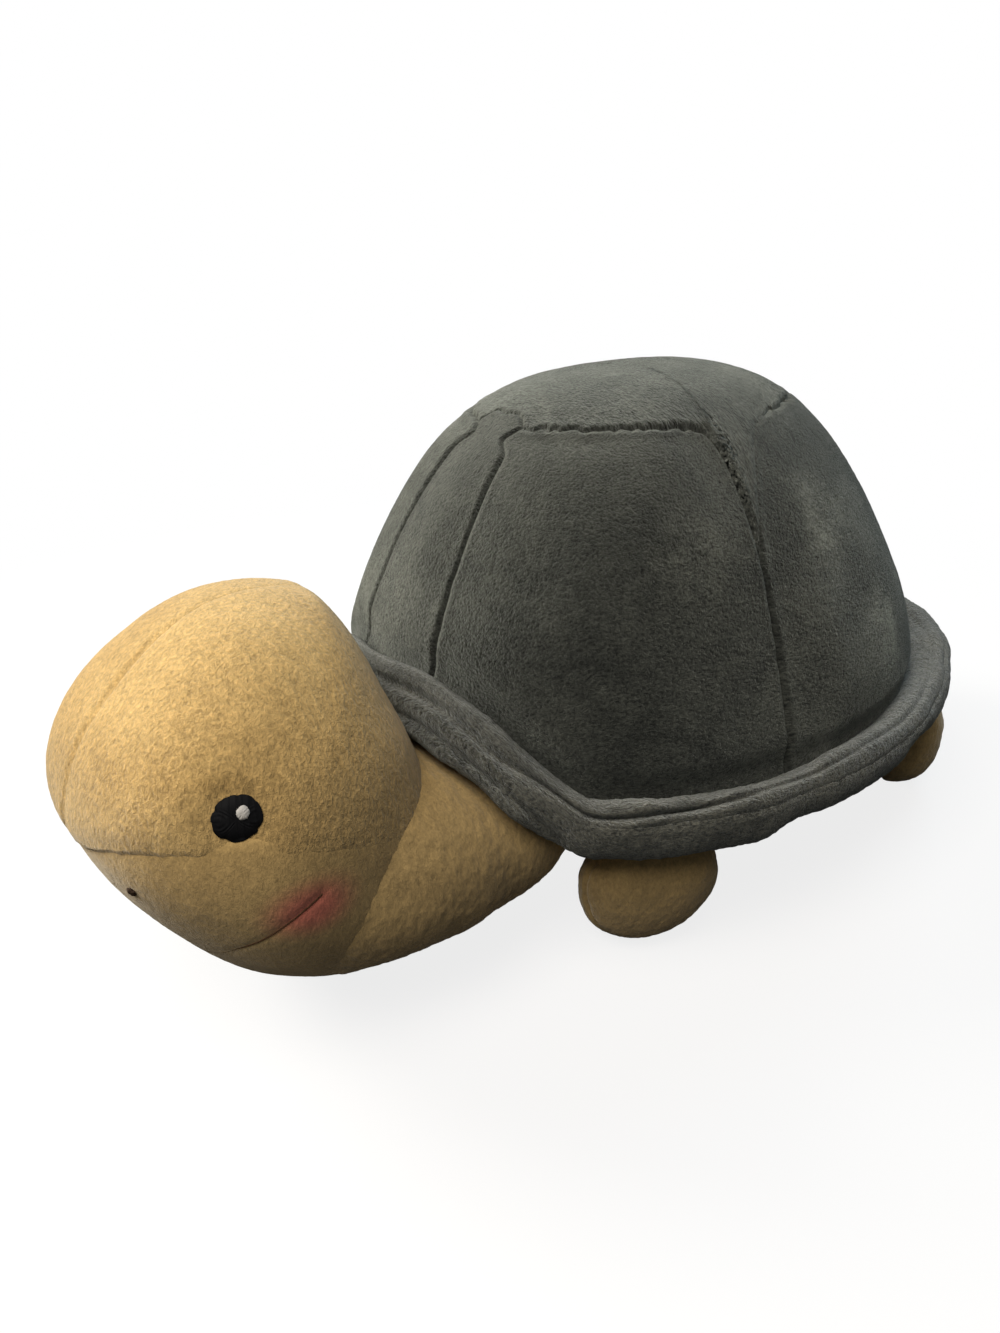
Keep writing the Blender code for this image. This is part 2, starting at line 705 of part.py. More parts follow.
def leg_pad(name):
    """A flattened, squarish ball hanging from the root, pressed flat at the sole."""
    root, outward, along = leg_frame(name)
    half_height = (root.z + SOLE_CUT_DEPTH) / 2
    centre = root - outward * LEG_SET_IN
    centre.z = root.z - half_height
    bm = bmesh.new()
    bmesh.ops.create_uvsphere(bm, u_segments=LEG_COLUMNS, v_segments=LEG_RINGS, radius=1)
    for vert in bm.verts:
        length = sum(abs(value) ** LEG_SQUARENESS for value in vert.co) ** (1 / LEG_SQUARENESS)
        unit = vert.co / length
        vert.co = centre + outward * unit.x * LEG_HALF_THICKNESS + along * unit.y * LEG_HALF_LENGTH
        vert.co.z += unit.z * half_height
        if vert.co.z < SOLE_EDGE_HEIGHT:
            vert.co.z = 0
    return close_solid(bm), centre, outward


def make_leg(name, cover_material, filling_material, parent, body_cutter):
    for half, side in (("outer", 1), ("inner", -1)):
        bm, centre, outward = leg_pad(name)
        keep_side(bm, centre + outward * side * LEG_SEAM_GAP / 2, outward * side)
        face_away_from(bm, centre)
        cover = add_object(name + "_leg_" + half + "_cover", bm, cover_material, parent)
        thicken(cover, PLUSH_THICKNESS)
        cut(cover, body_cutter)
    bm = grown_along_normals(leg_pad(name)[0], -PLUSH_THICKNESS - FILLING_GAP)
    filling = add_object(name + "_leg_filling", bm, filling_material, parent)
    cut(filling, body_cutter)


def build():
    shell = make_material("shell_minky", (0.082, 0.088, 0.074), 0.9)
    brim = make_material("brim_minky", (0.066, 0.071, 0.060), 0.9)
    tan = make_material("tan_plush", (0.510, 0.370, 0.180), 0.9)
    muzzle = make_material("muzzle_plush", (0.440, 0.310, 0.150), 0.9)
    filling = make_material("polyester_filling", (0.800, 0.800, 0.780), 0.95)
    beans = make_material("bean_bag_cloth", (0.550, 0.540, 0.500), 0.85)
    black = make_material("black_embroidery", (0.010, 0.010, 0.010), 0.45)
    white = make_material("white_embroidery", (0.780, 0.780, 0.760), 0.5)
    brown = make_material("brown_embroidery", (0.050, 0.032, 0.018), 0.6)

    neck_pivot = add_pivot("neck_pivot", NECK_CENTRE)
    head_pivot = add_pivot("head_pivot", NECK_CENTRE, neck_pivot)
    body_ball = neck_ball(NECK_HALF_WIDTH, NECK_HALF_WIDTH, NECK_TURNING_GAP)
    body_hollow = add_cutter("body_hollow_cutter", body_ball)
    head_ball = neck_ball(NECK_HALF_HEIGHT, NECK_HALF_HEIGHT, NECK_TURNING_GAP)
    head_hollow = add_cutter("head_hollow_cutter", head_ball)
    body_cutter = add_cutter("body_outer_cutter", body_form(LEG_SEAT_GAP))

    make_shell_panels(shell)
    make_brim(brim, filling)
    make_body(filling, tan, beans, body_hollow)
    make_neck(tan, filling, neck_pivot)
    make_head(tan, muzzle, filling, head_pivot, head_hollow)
    make_face(black, white, brown, head_pivot)
    for name in LEG_AZIMUTH_DEGREES:
        root, outward, along = leg_frame(name)
        pivot = add_pivot(name + "_leg_pivot", root, turn=atan2(along.y, along.x))
        make_leg(name, tan, filling, pivot, body_cutter)


clear_scene()
PARTS = new_collection("plush_turtle")
CUTTERS = new_collection("cutters")
build()
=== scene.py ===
"""Plush turtle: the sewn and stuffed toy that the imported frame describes, with its stage."""

from math import cos, pi, radians, sin

import bpy
import numpy as np
from bpy.props import FloatProperty, FloatVectorProperty, IntProperty, PointerProperty
from mathutils import Matrix, Vector
from mathutils.kdtree import KDTree


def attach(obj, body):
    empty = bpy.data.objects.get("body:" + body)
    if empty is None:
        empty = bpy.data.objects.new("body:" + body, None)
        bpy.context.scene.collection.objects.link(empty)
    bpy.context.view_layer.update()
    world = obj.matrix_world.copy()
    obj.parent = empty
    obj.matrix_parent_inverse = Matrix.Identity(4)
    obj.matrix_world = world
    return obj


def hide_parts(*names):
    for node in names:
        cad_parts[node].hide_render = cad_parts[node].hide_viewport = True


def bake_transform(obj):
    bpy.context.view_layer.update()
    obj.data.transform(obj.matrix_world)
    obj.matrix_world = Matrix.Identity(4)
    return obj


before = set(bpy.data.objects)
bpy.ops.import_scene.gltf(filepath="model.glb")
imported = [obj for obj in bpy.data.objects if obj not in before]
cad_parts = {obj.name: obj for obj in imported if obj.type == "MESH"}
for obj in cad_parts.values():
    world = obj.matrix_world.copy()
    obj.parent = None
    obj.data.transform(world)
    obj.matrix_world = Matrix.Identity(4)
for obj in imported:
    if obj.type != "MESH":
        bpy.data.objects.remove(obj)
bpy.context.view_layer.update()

bl_info = {
    "name": "Plush turtle",
    "version": (1, 0, 0),
    "blender": (4, 5, 0),
    "location": "3D View > Sidebar > Turtle",
    "description": "Builds a plush turtle in minky cloth, with its stage and camera",
    "category": "Object",
}

MM = 0.001

# Places taken from the frame: the dome, the brim and the head as they are sewn
SHELL_HALF_WIDTH = 0.100
SHELL_HALF_LENGTH = 0.1223
SHELL_CENTRE_Y = 0.033
SHELL_BASE_Z = 0.0362
SHELL_HEIGHT = 0.1309
SHELL_PLAN_POWER = 3.03
SHELL_RISE_POWER = 1.03
CROWN_CORNERS = (13.1, 78.5, 146, 214, 281.5, 346.9)
CROWN_HEIGHT = 0.905
CROWN_DROPS = (0.004, 0.27, 0.05, 0.05, 0.27, 0.004)
PANEL_NAMES = ("front", "front_left", "rear_left", "rear", "rear_right", "front_right")
NECK_CENTRE = Vector((0, -0.080, 0.040))
LEG_AZIMUTH = {"front_left": 55, "rear_left": 141, "rear_right": 219, "front_right": 305}
LEG_SPLAY = {"front_left": 60, "rear_left": 128, "rear_right": 232, "front_right": 300}


# Sizes and colours

class TurtleShellSettings(bpy.types.PropertyGroup):
    seam_depth: FloatProperty(name="Seam depth", description="How far a panel's edge is pulled in at its seam", default=0.0010, unit='LENGTH')
    seam_width: FloatProperty(name="Seam width", description="Half width of the dip along a seam", default=0.0008, unit='LENGTH')
    fullness: FloatProperty(name="Fullness", description="How far the middle of a panel swells", default=0.0010, unit='LENGTH')
    tuft_height: FloatProperty(name="Tuft height", description="Height of the pile's tufts on the shell", default=0.00020, unit='LENGTH')
    panel_columns: IntProperty(name="Columns", description="Faces across a side panel", default=210)
    panel_rows: IntProperty(name="Rows", description="Faces up a side panel", default=210)


class TurtleBrimSettings(bpy.types.PropertyGroup):
    height: FloatProperty(name="Half height", description="Half the height of the padded brim", default=0.0098, unit='LENGTH')
    stand_off: FloatProperty(name="Stand-off", description="Gap between the dome and the middle of the brim's roll", default=0.0040, unit='LENGTH')
    flap_reach: FloatProperty(name="Flap reach", description="How far the brim's lower edge stands out over the neck", default=0.0095, unit='LENGTH')
    pucker: FloatProperty(name="Pucker", description="Height of the puckers on the brim's top", default=0.0016, unit='LENGTH')
    crease_depth: FloatProperty(name="Crease depth", description="Depth of the fold along the brim", default=0.0030, unit='LENGTH')
    tuft_height: FloatProperty(name="Tuft height", description="Height of the pile's tufts on the brim", default=0.0006, unit='LENGTH')


class TurtleHeadSettings(bpy.types.PropertyGroup):
    tuft_height: FloatProperty(name="Tuft height", description="Height of the pile's tufts on the head", default=0.00013, unit='LENGTH')
    muzzle_tuft_height: FloatProperty(name="Muzzle tuft height", description="Height of the smoother pile on the muzzle", default=0.00010, unit='LENGTH')
    brow_overhang: FloatProperty(name="Brow overhang", description="How far the upper head stands proud of the muzzle", default=0.0009, unit='LENGTH')
    columns: IntProperty(name="Columns", description="Faces round the head", default=536)
    rows: IntProperty(name="Rows", description="Faces from the nose to the back of the head", default=272)


class TurtleClothSettings(bpy.types.PropertyGroup):
    shell: FloatVectorProperty(name="Shell", description="Colour of the shell's minky", subtype='COLOR', default=(0.0235, 0.0260, 0.0225))
    brim: FloatVectorProperty(name="Brim", description="Colour of the brim's minky", subtype='COLOR', default=(0.074, 0.075, 0.061))
    tan: FloatVectorProperty(name="Tan", description="Colour of the upper head and legs", subtype='COLOR', default=(0.560, 0.368, 0.138))
    # muzzle is painted shade: the darker tan that the tan cloths fade to below the eyes, on the muzzle, neck, belly and
    # legs.
    muzzle: FloatVectorProperty(name="Muzzle", description="Colour of the muzzle and neck", subtype='COLOR', default=(0.385, 0.270, 0.118))
    blush: FloatVectorProperty(name="Blush", description="Colour of the cheeks' blush", subtype='COLOR', default=(0.520, 0.130, 0.105))
    thread: FloatVectorProperty(name="Thread", description="Colour of the smile and nostril thread", subtype='COLOR', default=(0.050, 0.030, 0.018))


class TurtleStageSettings(bpy.types.PropertyGroup):
    key: FloatProperty(name="Key lamp", description="Power of the main lamp", default=28.0, unit='POWER')
    rim: FloatProperty(name="Rim lamp", description="Power of the cool lamp behind", default=9.0, unit='POWER')
    fill: FloatProperty(name="Fill lamp", description="Power of the weak lamp near the camera", default=18.5, unit='POWER')
    world: FloatProperty(name="World", description="Strength of the even light from all round", default=0.06)


# Shapes shared by the pieces

def noise(points, seed):
    """Smooth noise from 0 to 1 at each point, one cell to a unit."""
    table = np.random.default_rng(seed).random(4096)
    cell = np.floor(points).astype(np.int64)
    part = points - cell
    part = part * part * (3 - 2 * part)
    total = 0
    for dx in (0, 1):
        for dy in (0, 1):
            for dz in (0, 1):
                mixed = (cell[..., 0] + dx) * 73856093 ^ (cell[..., 1] + dy) * 19349663 ^ (cell[..., 2] + dz) * 83492791
                weight = (part[..., 0] if dx else 1 - part[..., 0])
                weight = weight * (part[..., 1] if dy else 1 - part[..., 1])
                weight = weight * (part[..., 2] if dz else 1 - part[..., 2])
                total = total + table[mixed & 4095] * weight
    return total


def tufts(across, along, seed, width=1.0 * MM, length=2.6 * MM):
    """Leaning tufts of pile, from 0 to 1, longer along the nap than across it."""
    swirl = noise(np.stack([across / (14 * MM), along / (14 * MM), along * 0], -1), seed + 5) - 0.5
    across = across + swirl * 2 * MM
    fine = noise(np.stack([across / width, along / length, along * 0], -1), seed)
    coarse = noise(np.stack([across / (2.3 * width), along / (2.3 * length), along * 0 + 7], -1), seed + 1)
    return 0.62 * fine + 0.38 * coarse


def fluff(points, seed, size=1.25 * MM):
    """Tufts without a direction, from 0 to 1."""
    squeezed = points * np.array((1, 1, 0.62))
    return 0.6 * noise(squeezed / size, seed) + 0.4 * noise(squeezed / (2.2 * size), seed + 1)


def seam_dip(distance, depth, width):
    """Offset near a seam: a narrow dip with a soft ridge beside it, diving inwards past the seam."""
    inside = -depth * np.exp(-(distance / width) ** 2) + 0.22 * depth * np.exp(-((distance - 2.6 * width) / (1.6 * width)) ** 2)
    return np.where(distance >= 0, inside, -depth - 1.6 * np.abs(distance))


def smooth_step(value):
    value = np.clip(value, 0, 1)
    return value * value * (3 - 2 * value)


def surface_normals(points):
    """Unit normals of a grid of points."""
    down = np.gradient(points, axis=0)
    right = np.gradient(points, axis=1)
    normals = np.cross(right, down)
    return normals / np.maximum(np.linalg.norm(normals, axis=-1, keepdims=True), 1e-12)


def deselect_all():
    if bpy.context.mode != 'OBJECT':
        bpy.ops.object.mode_set(mode='OBJECT')
    bpy.ops.object.select_all(action='DESELECT')


def choose(item):
    deselect_all()
    item.select_set(True)
    bpy.context.view_layer.objects.active = item


def grid_axes(columns, rows):
    """The (u, v) of a grid primitive's points, as rows of columns."""
    u, v = np.meshgrid(np.linspace(0, 1, columns + 1), np.linspace(0, 1, rows + 1))
    return u, v


def sew(name, points, uv, keep=None, outward=None):
    """A grid primitive moved to the points, with the cloth's own map, less what lies past its seams."""
    rows, columns = points.shape[0] - 1, points.shape[1] - 1
    deselect_all()
    bpy.ops.mesh.primitive_grid_add(x_subdivisions=columns, y_subdivisions=rows, size=1, location=(0, 0, 0))
    piece = bpy.context.active_object
    piece.name = name
    mesh = piece.data
    mesh.name = name
    flat = np.empty(len(mesh.vertices) * 3)
    mesh.vertices.foreach_get("co", flat)
    flat = flat.reshape(-1, 3)
    column = np.rint((flat[:, 0] + 0.5) * columns).astype(int)
    row = np.rint((flat[:, 1] + 0.5) * rows).astype(int)
    mesh.vertices.foreach_set("co", points[row, column].reshape(-1))
    corner = np.empty(len(mesh.loops), dtype=np.int64)
    mesh.loops.foreach_get("vertex_index", corner)
    layer = mesh.uv_layers[0] if mesh.uv_layers else mesh.uv_layers.new(name="cloth")
    layer.name = "cloth"
    layer.data.foreach_set("uv", uv[row, column][corner].reshape(-1))
    if keep is not None:
        drop = ~keep[row, column]
        mesh.vertices.foreach_set("select", drop)
        mesh.update()
        bpy.ops.object.mode_set(mode='EDIT')
        bpy.ops.mesh.select_mode(type='VERT')
        bpy.ops.object.mode_set(mode='OBJECT')
        mesh.polygons.foreach_set("select", np.zeros(len(mesh.polygons), dtype=bool))
        mesh.edges.foreach_set("select", np.zeros(len(mesh.edges), dtype=bool))
        mesh.vertices.foreach_set("select", drop)
        bpy.ops.object.mode_set(mode='EDIT')
        bpy.ops.mesh.delete(type='VERT')
        bpy.ops.object.mode_set(mode='OBJECT')
    choose(piece)
    bpy.ops.object.mode_set(mode='EDIT')
    bpy.ops.mesh.select_all(action='SELECT')
    bpy.ops.mesh.remove_doubles(threshold=0.02 * MM)
    bpy.ops.object.mode_set(mode='OBJECT')
    mesh.update()
    if outward is not None:
        turned = 0
        for face in (mesh.polygons[number] for number in range(0, len(mesh.polygons), 37)):
            turned += (face.center - outward(face.center)).dot(face.normal)
        if turned < 0:
            bpy.ops.object.mode_set(mode='EDIT')
            bpy.ops.mesh.select_all(action='SELECT')
            bpy.ops.mesh.flip_normals()
            bpy.ops.object.mode_set(mode='OBJECT')
    bpy.ops.object.shade_smooth()
    return piece


def dress(piece, material, body, slot, *nodes, fill=0.8, bends=False):
    """Give a finished piece its cloth, hang it on its body and hide the nodes that it stands for. A piece that bends is
    hung on no body: its place is baked into its mesh.
    """
    piece.data.materials.clear()
    piece.data.materials.append(material)
    if bends and body == "neck":
        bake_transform(piece)
    elif bends:
        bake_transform(piece)
    else:
        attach(piece, body)
    if nodes:
        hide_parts(*nodes)
    return piece


# Shell and brim curves

def dome_share(z):
    height = np.clip((z - SHELL_BASE_Z) / SHELL_HEIGHT, 0, 1)
    return np.maximum(1 - height ** SHELL_RISE_POWER, 0) ** (1 / SHELL_PLAN_POWER)


def shell_place(azimuth, share, z):
    return np.stack([
        SHELL_HALF_WIDTH * share * np.sin(azimuth),
        SHELL_CENTRE_Y - SHELL_HALF_LENGTH * share * np.cos(azimuth),
        z + 0 * azimuth,
    ], -1)


def dome_place(azimuth, climb):
    share = np.cos(climb) ** (2 / SHELL_PLAN_POWER)
    height = np.sin(climb) ** (2 / SHELL_RISE_POWER)
    return shell_place(azimuth, share, SHELL_BASE_Z + SHELL_HEIGHT * height)


def dome_normals(azimuth, climb):
    """Unit normals of the smooth dome, straight up at its very top."""
    step = 0.0002
    climb = np.minimum(climb, pi / 2 - 2 * step)
    along = dome_place(azimuth + step, climb) - dome_place(azimuth - step, climb)
    up = dome_place(azimuth, climb + step) - dome_place(azimuth, climb - step)
    normals = np.cross(along, up)
    length = np.linalg.norm(normals, axis=-1, keepdims=True)
    return np.where(length > 1e-14, normals / np.maximum(length, 1e-14), np.array((0, 0, 1)))


def climb_at_height(z):
    height = np.clip((z - SHELL_BASE_Z) / SHELL_HEIGHT, 0, 1)
    return np.arcsin(height ** (SHELL_RISE_POWER / 2))


def front_degrees(azimuth):
    turned = np.degrees(azimuth) % 360
    return np.minimum(turned, 360 - turned)


def arch_share(azimuth):
    run = (46 - front_degrees(azimuth)) / (46 - 10)
    run = (run + np.sqrt(run ** 2 + 0.004)) / 2
    return np.sin(pi / 2 * np.clip(run, 0, 1))


def brim_z(azimuth):
    return 0.0535 + 0.030 * arch_share(azimuth)


def rear_share(azimuth):
    return np.sin(pi / 2 * np.maximum(-np.cos(azimuth), 0)) ** 4


def brim_reach(azimuth):
    return 0.0084 + 0.0043 * rear_share(azimuth) - 0.0030 * arch_share(azimuth)


def brim_seam_share(azimuth, climb):
    upper = dome_share(brim_z(azimuth) + 0.0094)
    lower = 0.965 + (1.095 - 0.965) * rear_share(azimuth)
    return upper * (lower + (1 - lower) * climb)


def crown_seam_climb(azimuth):
    """Climb of the crown's seam: level, higher over the front panel, with a tongue running down at each corner."""
    turned = np.degrees(azimuth) % 360
    front = np.minimum(turned, 360 - turned)
    height = CROWN_HEIGHT + 0.020 * smooth_step((15 - front) / 9) - 0.010 * np.exp(-((front - 74) / 12) ** 2)
    for corner, drop in zip(CROWN_CORNERS, CROWN_DROPS):
        away = (turned - corner + 180) % 360 - 180
        rearward = np.where(corner < 180, away, -away)
        height = height - drop * np.exp(-np.abs(away) / np.where(rearward > 0, 5.5, 1.5))
    height = height + 0.006 * (noise(np.stack([turned * 0.55, 0 * turned, 0 * turned], -1), 11) - 0.5)
    return np.arcsin(height ** (SHELL_RISE_POWER / 2))


def side_seam_shift(index, climb):
    """How far a side seam leaves its azimuth, in radians: the front corners' seams bend forward under the crown."""
    height = np.sin(climb) ** (2 / SHELL_RISE_POWER)
    bend = radians(4.4) * np.exp(-((height - 0.880) / 0.017) ** 2)
    lean = radians(1.2) * smooth_step((height - 0.68) / 0.12)
    wander = radians(0.35) * (noise(np.stack([climb * 34, 0 * climb, 0 * climb], -1), 12 + index) - 0.5)
    return wander + (-bend, -lean, 0, 0, lean, bend)[index]


def seam_envelope(azimuth, pick):
    """The highest or lowest climb of the crown's seam within a few degrees."""
    return pick([crown_seam_climb(azimuth + radians(turn)) for turn in np.linspace(-2.5, 2.5, 9)], axis=0)


def seam_strength(azimuth, climb):
    """How deep the seam is drawn in: weak on the rearward side of the tongues, where the pile lies over it."""
    front = front_degrees(azimuth)
    height = np.sin(climb) ** (2 / SHELL_RISE_POWER)
    return 1 - 0.75 * smooth_step((front - 79.2) / 1.2) * smooth_step((104 - front) / 8) * smooth_step((height - 0.63) / 0.04)


def dome_seams():
    """All the dome's seams as a tree of close points: the crown's seam and the six side seams."""
    azimuth = np.linspace(0, 2 * pi, 14001)[:-1]
    lines = [dome_place(azimuth, crown_seam_climb(azimuth))]
    for index, corner in enumerate(CROWN_CORNERS):
        top = crown_seam_climb(np.array(radians(corner)))
        climb = np.linspace(climb_at_height(0.045), float(top), 600)
        lines.append(dome_place(radians(corner) + side_seam_shift(index, climb), climb))
    places = np.concatenate(lines)
    tree = KDTree(len(places))
    for number, place in enumerate(places):
        tree.insert(place, number)
    tree.balance()
    return tree


def distance_to(tree, points):
    found = [tree.find(place)[2] for place in points.reshape(-1, 3)]
    return np.array(found).reshape(points.shape[:-1])


# Materials

def group_socket(group, name, kind, direction, value=None):
    socket = group.interface.new_socket(name=name, in_out=direction, socket_type=kind)
    if value is not None:
        socket.default_value = value


def link(tree, *pairs):
    for output, target in pairs:
        tree.links.new(output, target)


def math_node(tree, operation, first, second=None, clamp=False):
    item = tree.nodes.new("ShaderNodeMath")
    item.operation = operation
    item.use_clamp = clamp
    for index, value in enumerate((first, second)):
        if value is None:
            continue
        if isinstance(value, (int, float)):
            item.inputs[index].default_value = value
        else:
            tree.links.new(value, item.inputs[index])
    return item.outputs[0]


def mix_colour(tree, factor, first, second, blend='MIX'):
    item = tree.nodes.new("ShaderNodeMix")
    item.data_type = 'RGBA'
    item.blend_type = blend
    for socket, value in ((item.inputs["Factor"], factor), (item.inputs[6], first), (item.inputs[7], second)):
        if isinstance(value, (int, float)):
            socket.default_value = value
        elif isinstance(value, (tuple, list)):
            socket.default_value = (*value[:3], 1)
        else:
            tree.links.new(value, socket)
    return item.outputs[2]


def noise_node(tree, vector, scale, detail=2.0, roughness=0.5, distortion=0.0):
    item = tree.nodes.new("ShaderNodeTexNoise")
    item.inputs["Scale"].default_value = scale
    item.inputs["Detail"].default_value = detail
    item.inputs["Roughness"].default_value = roughness
    item.inputs["Distortion"].default_value = distortion
    tree.links.new(vector, item.inputs["Vector"])
    return item.outputs["Fac"]


def spread(tree, value, low, high):
    """Stretch a value so that low becomes 0 and high becomes 1."""
    item = tree.nodes.new("ShaderNodeMapRange")
    item.clamp = True
    item.inputs["From Min"].default_value = low
    item.inputs["From Max"].default_value = high
    tree.links.new(value, item.inputs["Value"])
    return item.outputs["Result"]


def pile_group():
    """Pile of minky or plush: its height, its fine painted shade and highlight, darker where the tufts are low and
    lighter on their tops, and the patches where the nap has been pushed over.
    """
    name = "Pile"
    if name in bpy.data.node_groups:
        return bpy.data.node_groups[name]
    group = bpy.data.node_groups.new(name, 'ShaderNodeTree')
    group_socket(group, "Fibre Vector", 'NodeSocketVector', 'INPUT')
    group_socket(group, "Patch Vector", 'NodeSocketVector', 'INPUT')
    group_socket(group, "Fibre Contrast", 'NodeSocketFloat', 'INPUT', 0.5)
    group_socket(group, "Patch Contrast", 'NodeSocketFloat', 'INPUT', 0.3)
    group_socket(group, "Height", 'NodeSocketFloat', 'OUTPUT')
    group_socket(group, "Shade", 'NodeSocketFloat', 'OUTPUT')
    group_socket(group, "Patch", 'NodeSocketFloat', 'OUTPUT')
    source = group.nodes.new("NodeGroupInput")
    target = group.nodes.new("NodeGroupOutput")
    fine = noise_node(group, source.outputs["Fibre Vector"], 1.0, detail=3.0, roughness=0.72, distortion=0.3)
    broad = noise_node(group, source.outputs["Fibre Vector"], 0.36, detail=1.0, roughness=0.5, distortion=0.6)
    fine = spread(group, fine, 0.28, 0.72)
    broad = spread(group, broad, 0.3, 0.7)
    height = math_node(group, 'ADD', math_node(group, 'MULTIPLY', fine, 0.78), math_node(group, 'MULTIPLY', broad, 0.22))
    patch = noise_node(group, source.outputs["Patch Vector"], 1.0, detail=2.5, roughness=0.55, distortion=0.9)
    patch = spread(group, patch, 0.33, 0.67)
    # Painted shade and highlight: the colour is made darker where the pile is low and lighter on the tufts' tops.
    fibre_shade = math_node(group, 'MULTIPLY', math_node(group, 'SUBTRACT', height, 0.5), source.outputs["Fibre Contrast"])
    patch_shade = math_node(group, 'MULTIPLY', math_node(group, 'SUBTRACT', patch, 0.5), source.outputs["Patch Contrast"])
    shade = math_node(group, 'MAXIMUM', math_node(group, 'ADD', 1.0, math_node(group, 'ADD', fibre_shade, patch_shade)), 0.15)
    link(group, (height, target.inputs["Height"]), (shade, target.inputs["Shade"]), (patch, target.inputs["Patch"]))
    return group


def spot_group():
    """A soft round spot, such as blush: 1 at its middle, 0 at its edge."""
    name = "Soft Spot"
    if name in bpy.data.node_groups:
        return bpy.data.node_groups[name]
    group = bpy.data.node_groups.new(name, 'ShaderNodeTree')
    group_socket(group, "Vector", 'NodeSocketVector', 'INPUT')
    group_socket(group, "Centre", 'NodeSocketVector', 'INPUT')
    group_socket(group, "Size", 'NodeSocketVector', 'INPUT', (1, 1, 1))
    group_socket(group, "Mask", 'NodeSocketFloat', 'OUTPUT')
    source = group.nodes.new("NodeGroupInput")
    target = group.nodes.new("NodeGroupOutput")
    mirrored = group.nodes.new("ShaderNodeVectorMath")
    mirrored.operation = 'ABSOLUTE'
    split = group.nodes.new("ShaderNodeSeparateXYZ")
    parts = group.nodes.new("ShaderNodeSeparateXYZ")
    joined = group.nodes.new("ShaderNodeCombineXYZ")
    away = group.nodes.new("ShaderNodeVectorMath")
    away.operation = 'SUBTRACT'
    shrunk = group.nodes.new("ShaderNodeVectorMath")
    shrunk.operation = 'DIVIDE'
    length = group.nodes.new("ShaderNodeVectorMath")
    length.operation = 'LENGTH'
    link(group, (source.outputs["Vector"], mirrored.inputs[0]), (mirrored.outputs[0], split.inputs[0]),
         (source.outputs["Vector"], parts.inputs[0]), (split.outputs["X"], joined.inputs["X"]),
         (parts.outputs["Y"], joined.inputs["Y"]), (parts.outputs["Z"], joined.inputs["Z"]),
         (joined.outputs[0], away.inputs[0]), (source.outputs["Centre"], away.inputs[1]),
         (away.outputs[0], shrunk.inputs[0]), (source.outputs["Size"], shrunk.inputs[1]),
         (shrunk.outputs[0], length.inputs[0]))
    ramp = group.nodes.new("ShaderNodeMapRange")
    ramp.interpolation_type = 'SMOOTHERSTEP'
    ramp.inputs["From Min"].default_value = 1.0
    ramp.inputs["From Max"].default_value = 0.1
    link(group, (length.outputs["Value"], ramp.inputs["Value"]), (ramp.outputs["Result"], target.inputs["Mask"]))
    return group


def new_material(name):
    material = bpy.data.materials.new(name)
    material.use_nodes = True
    return material, material.node_tree, material.node_tree.nodes["Principled BSDF"]


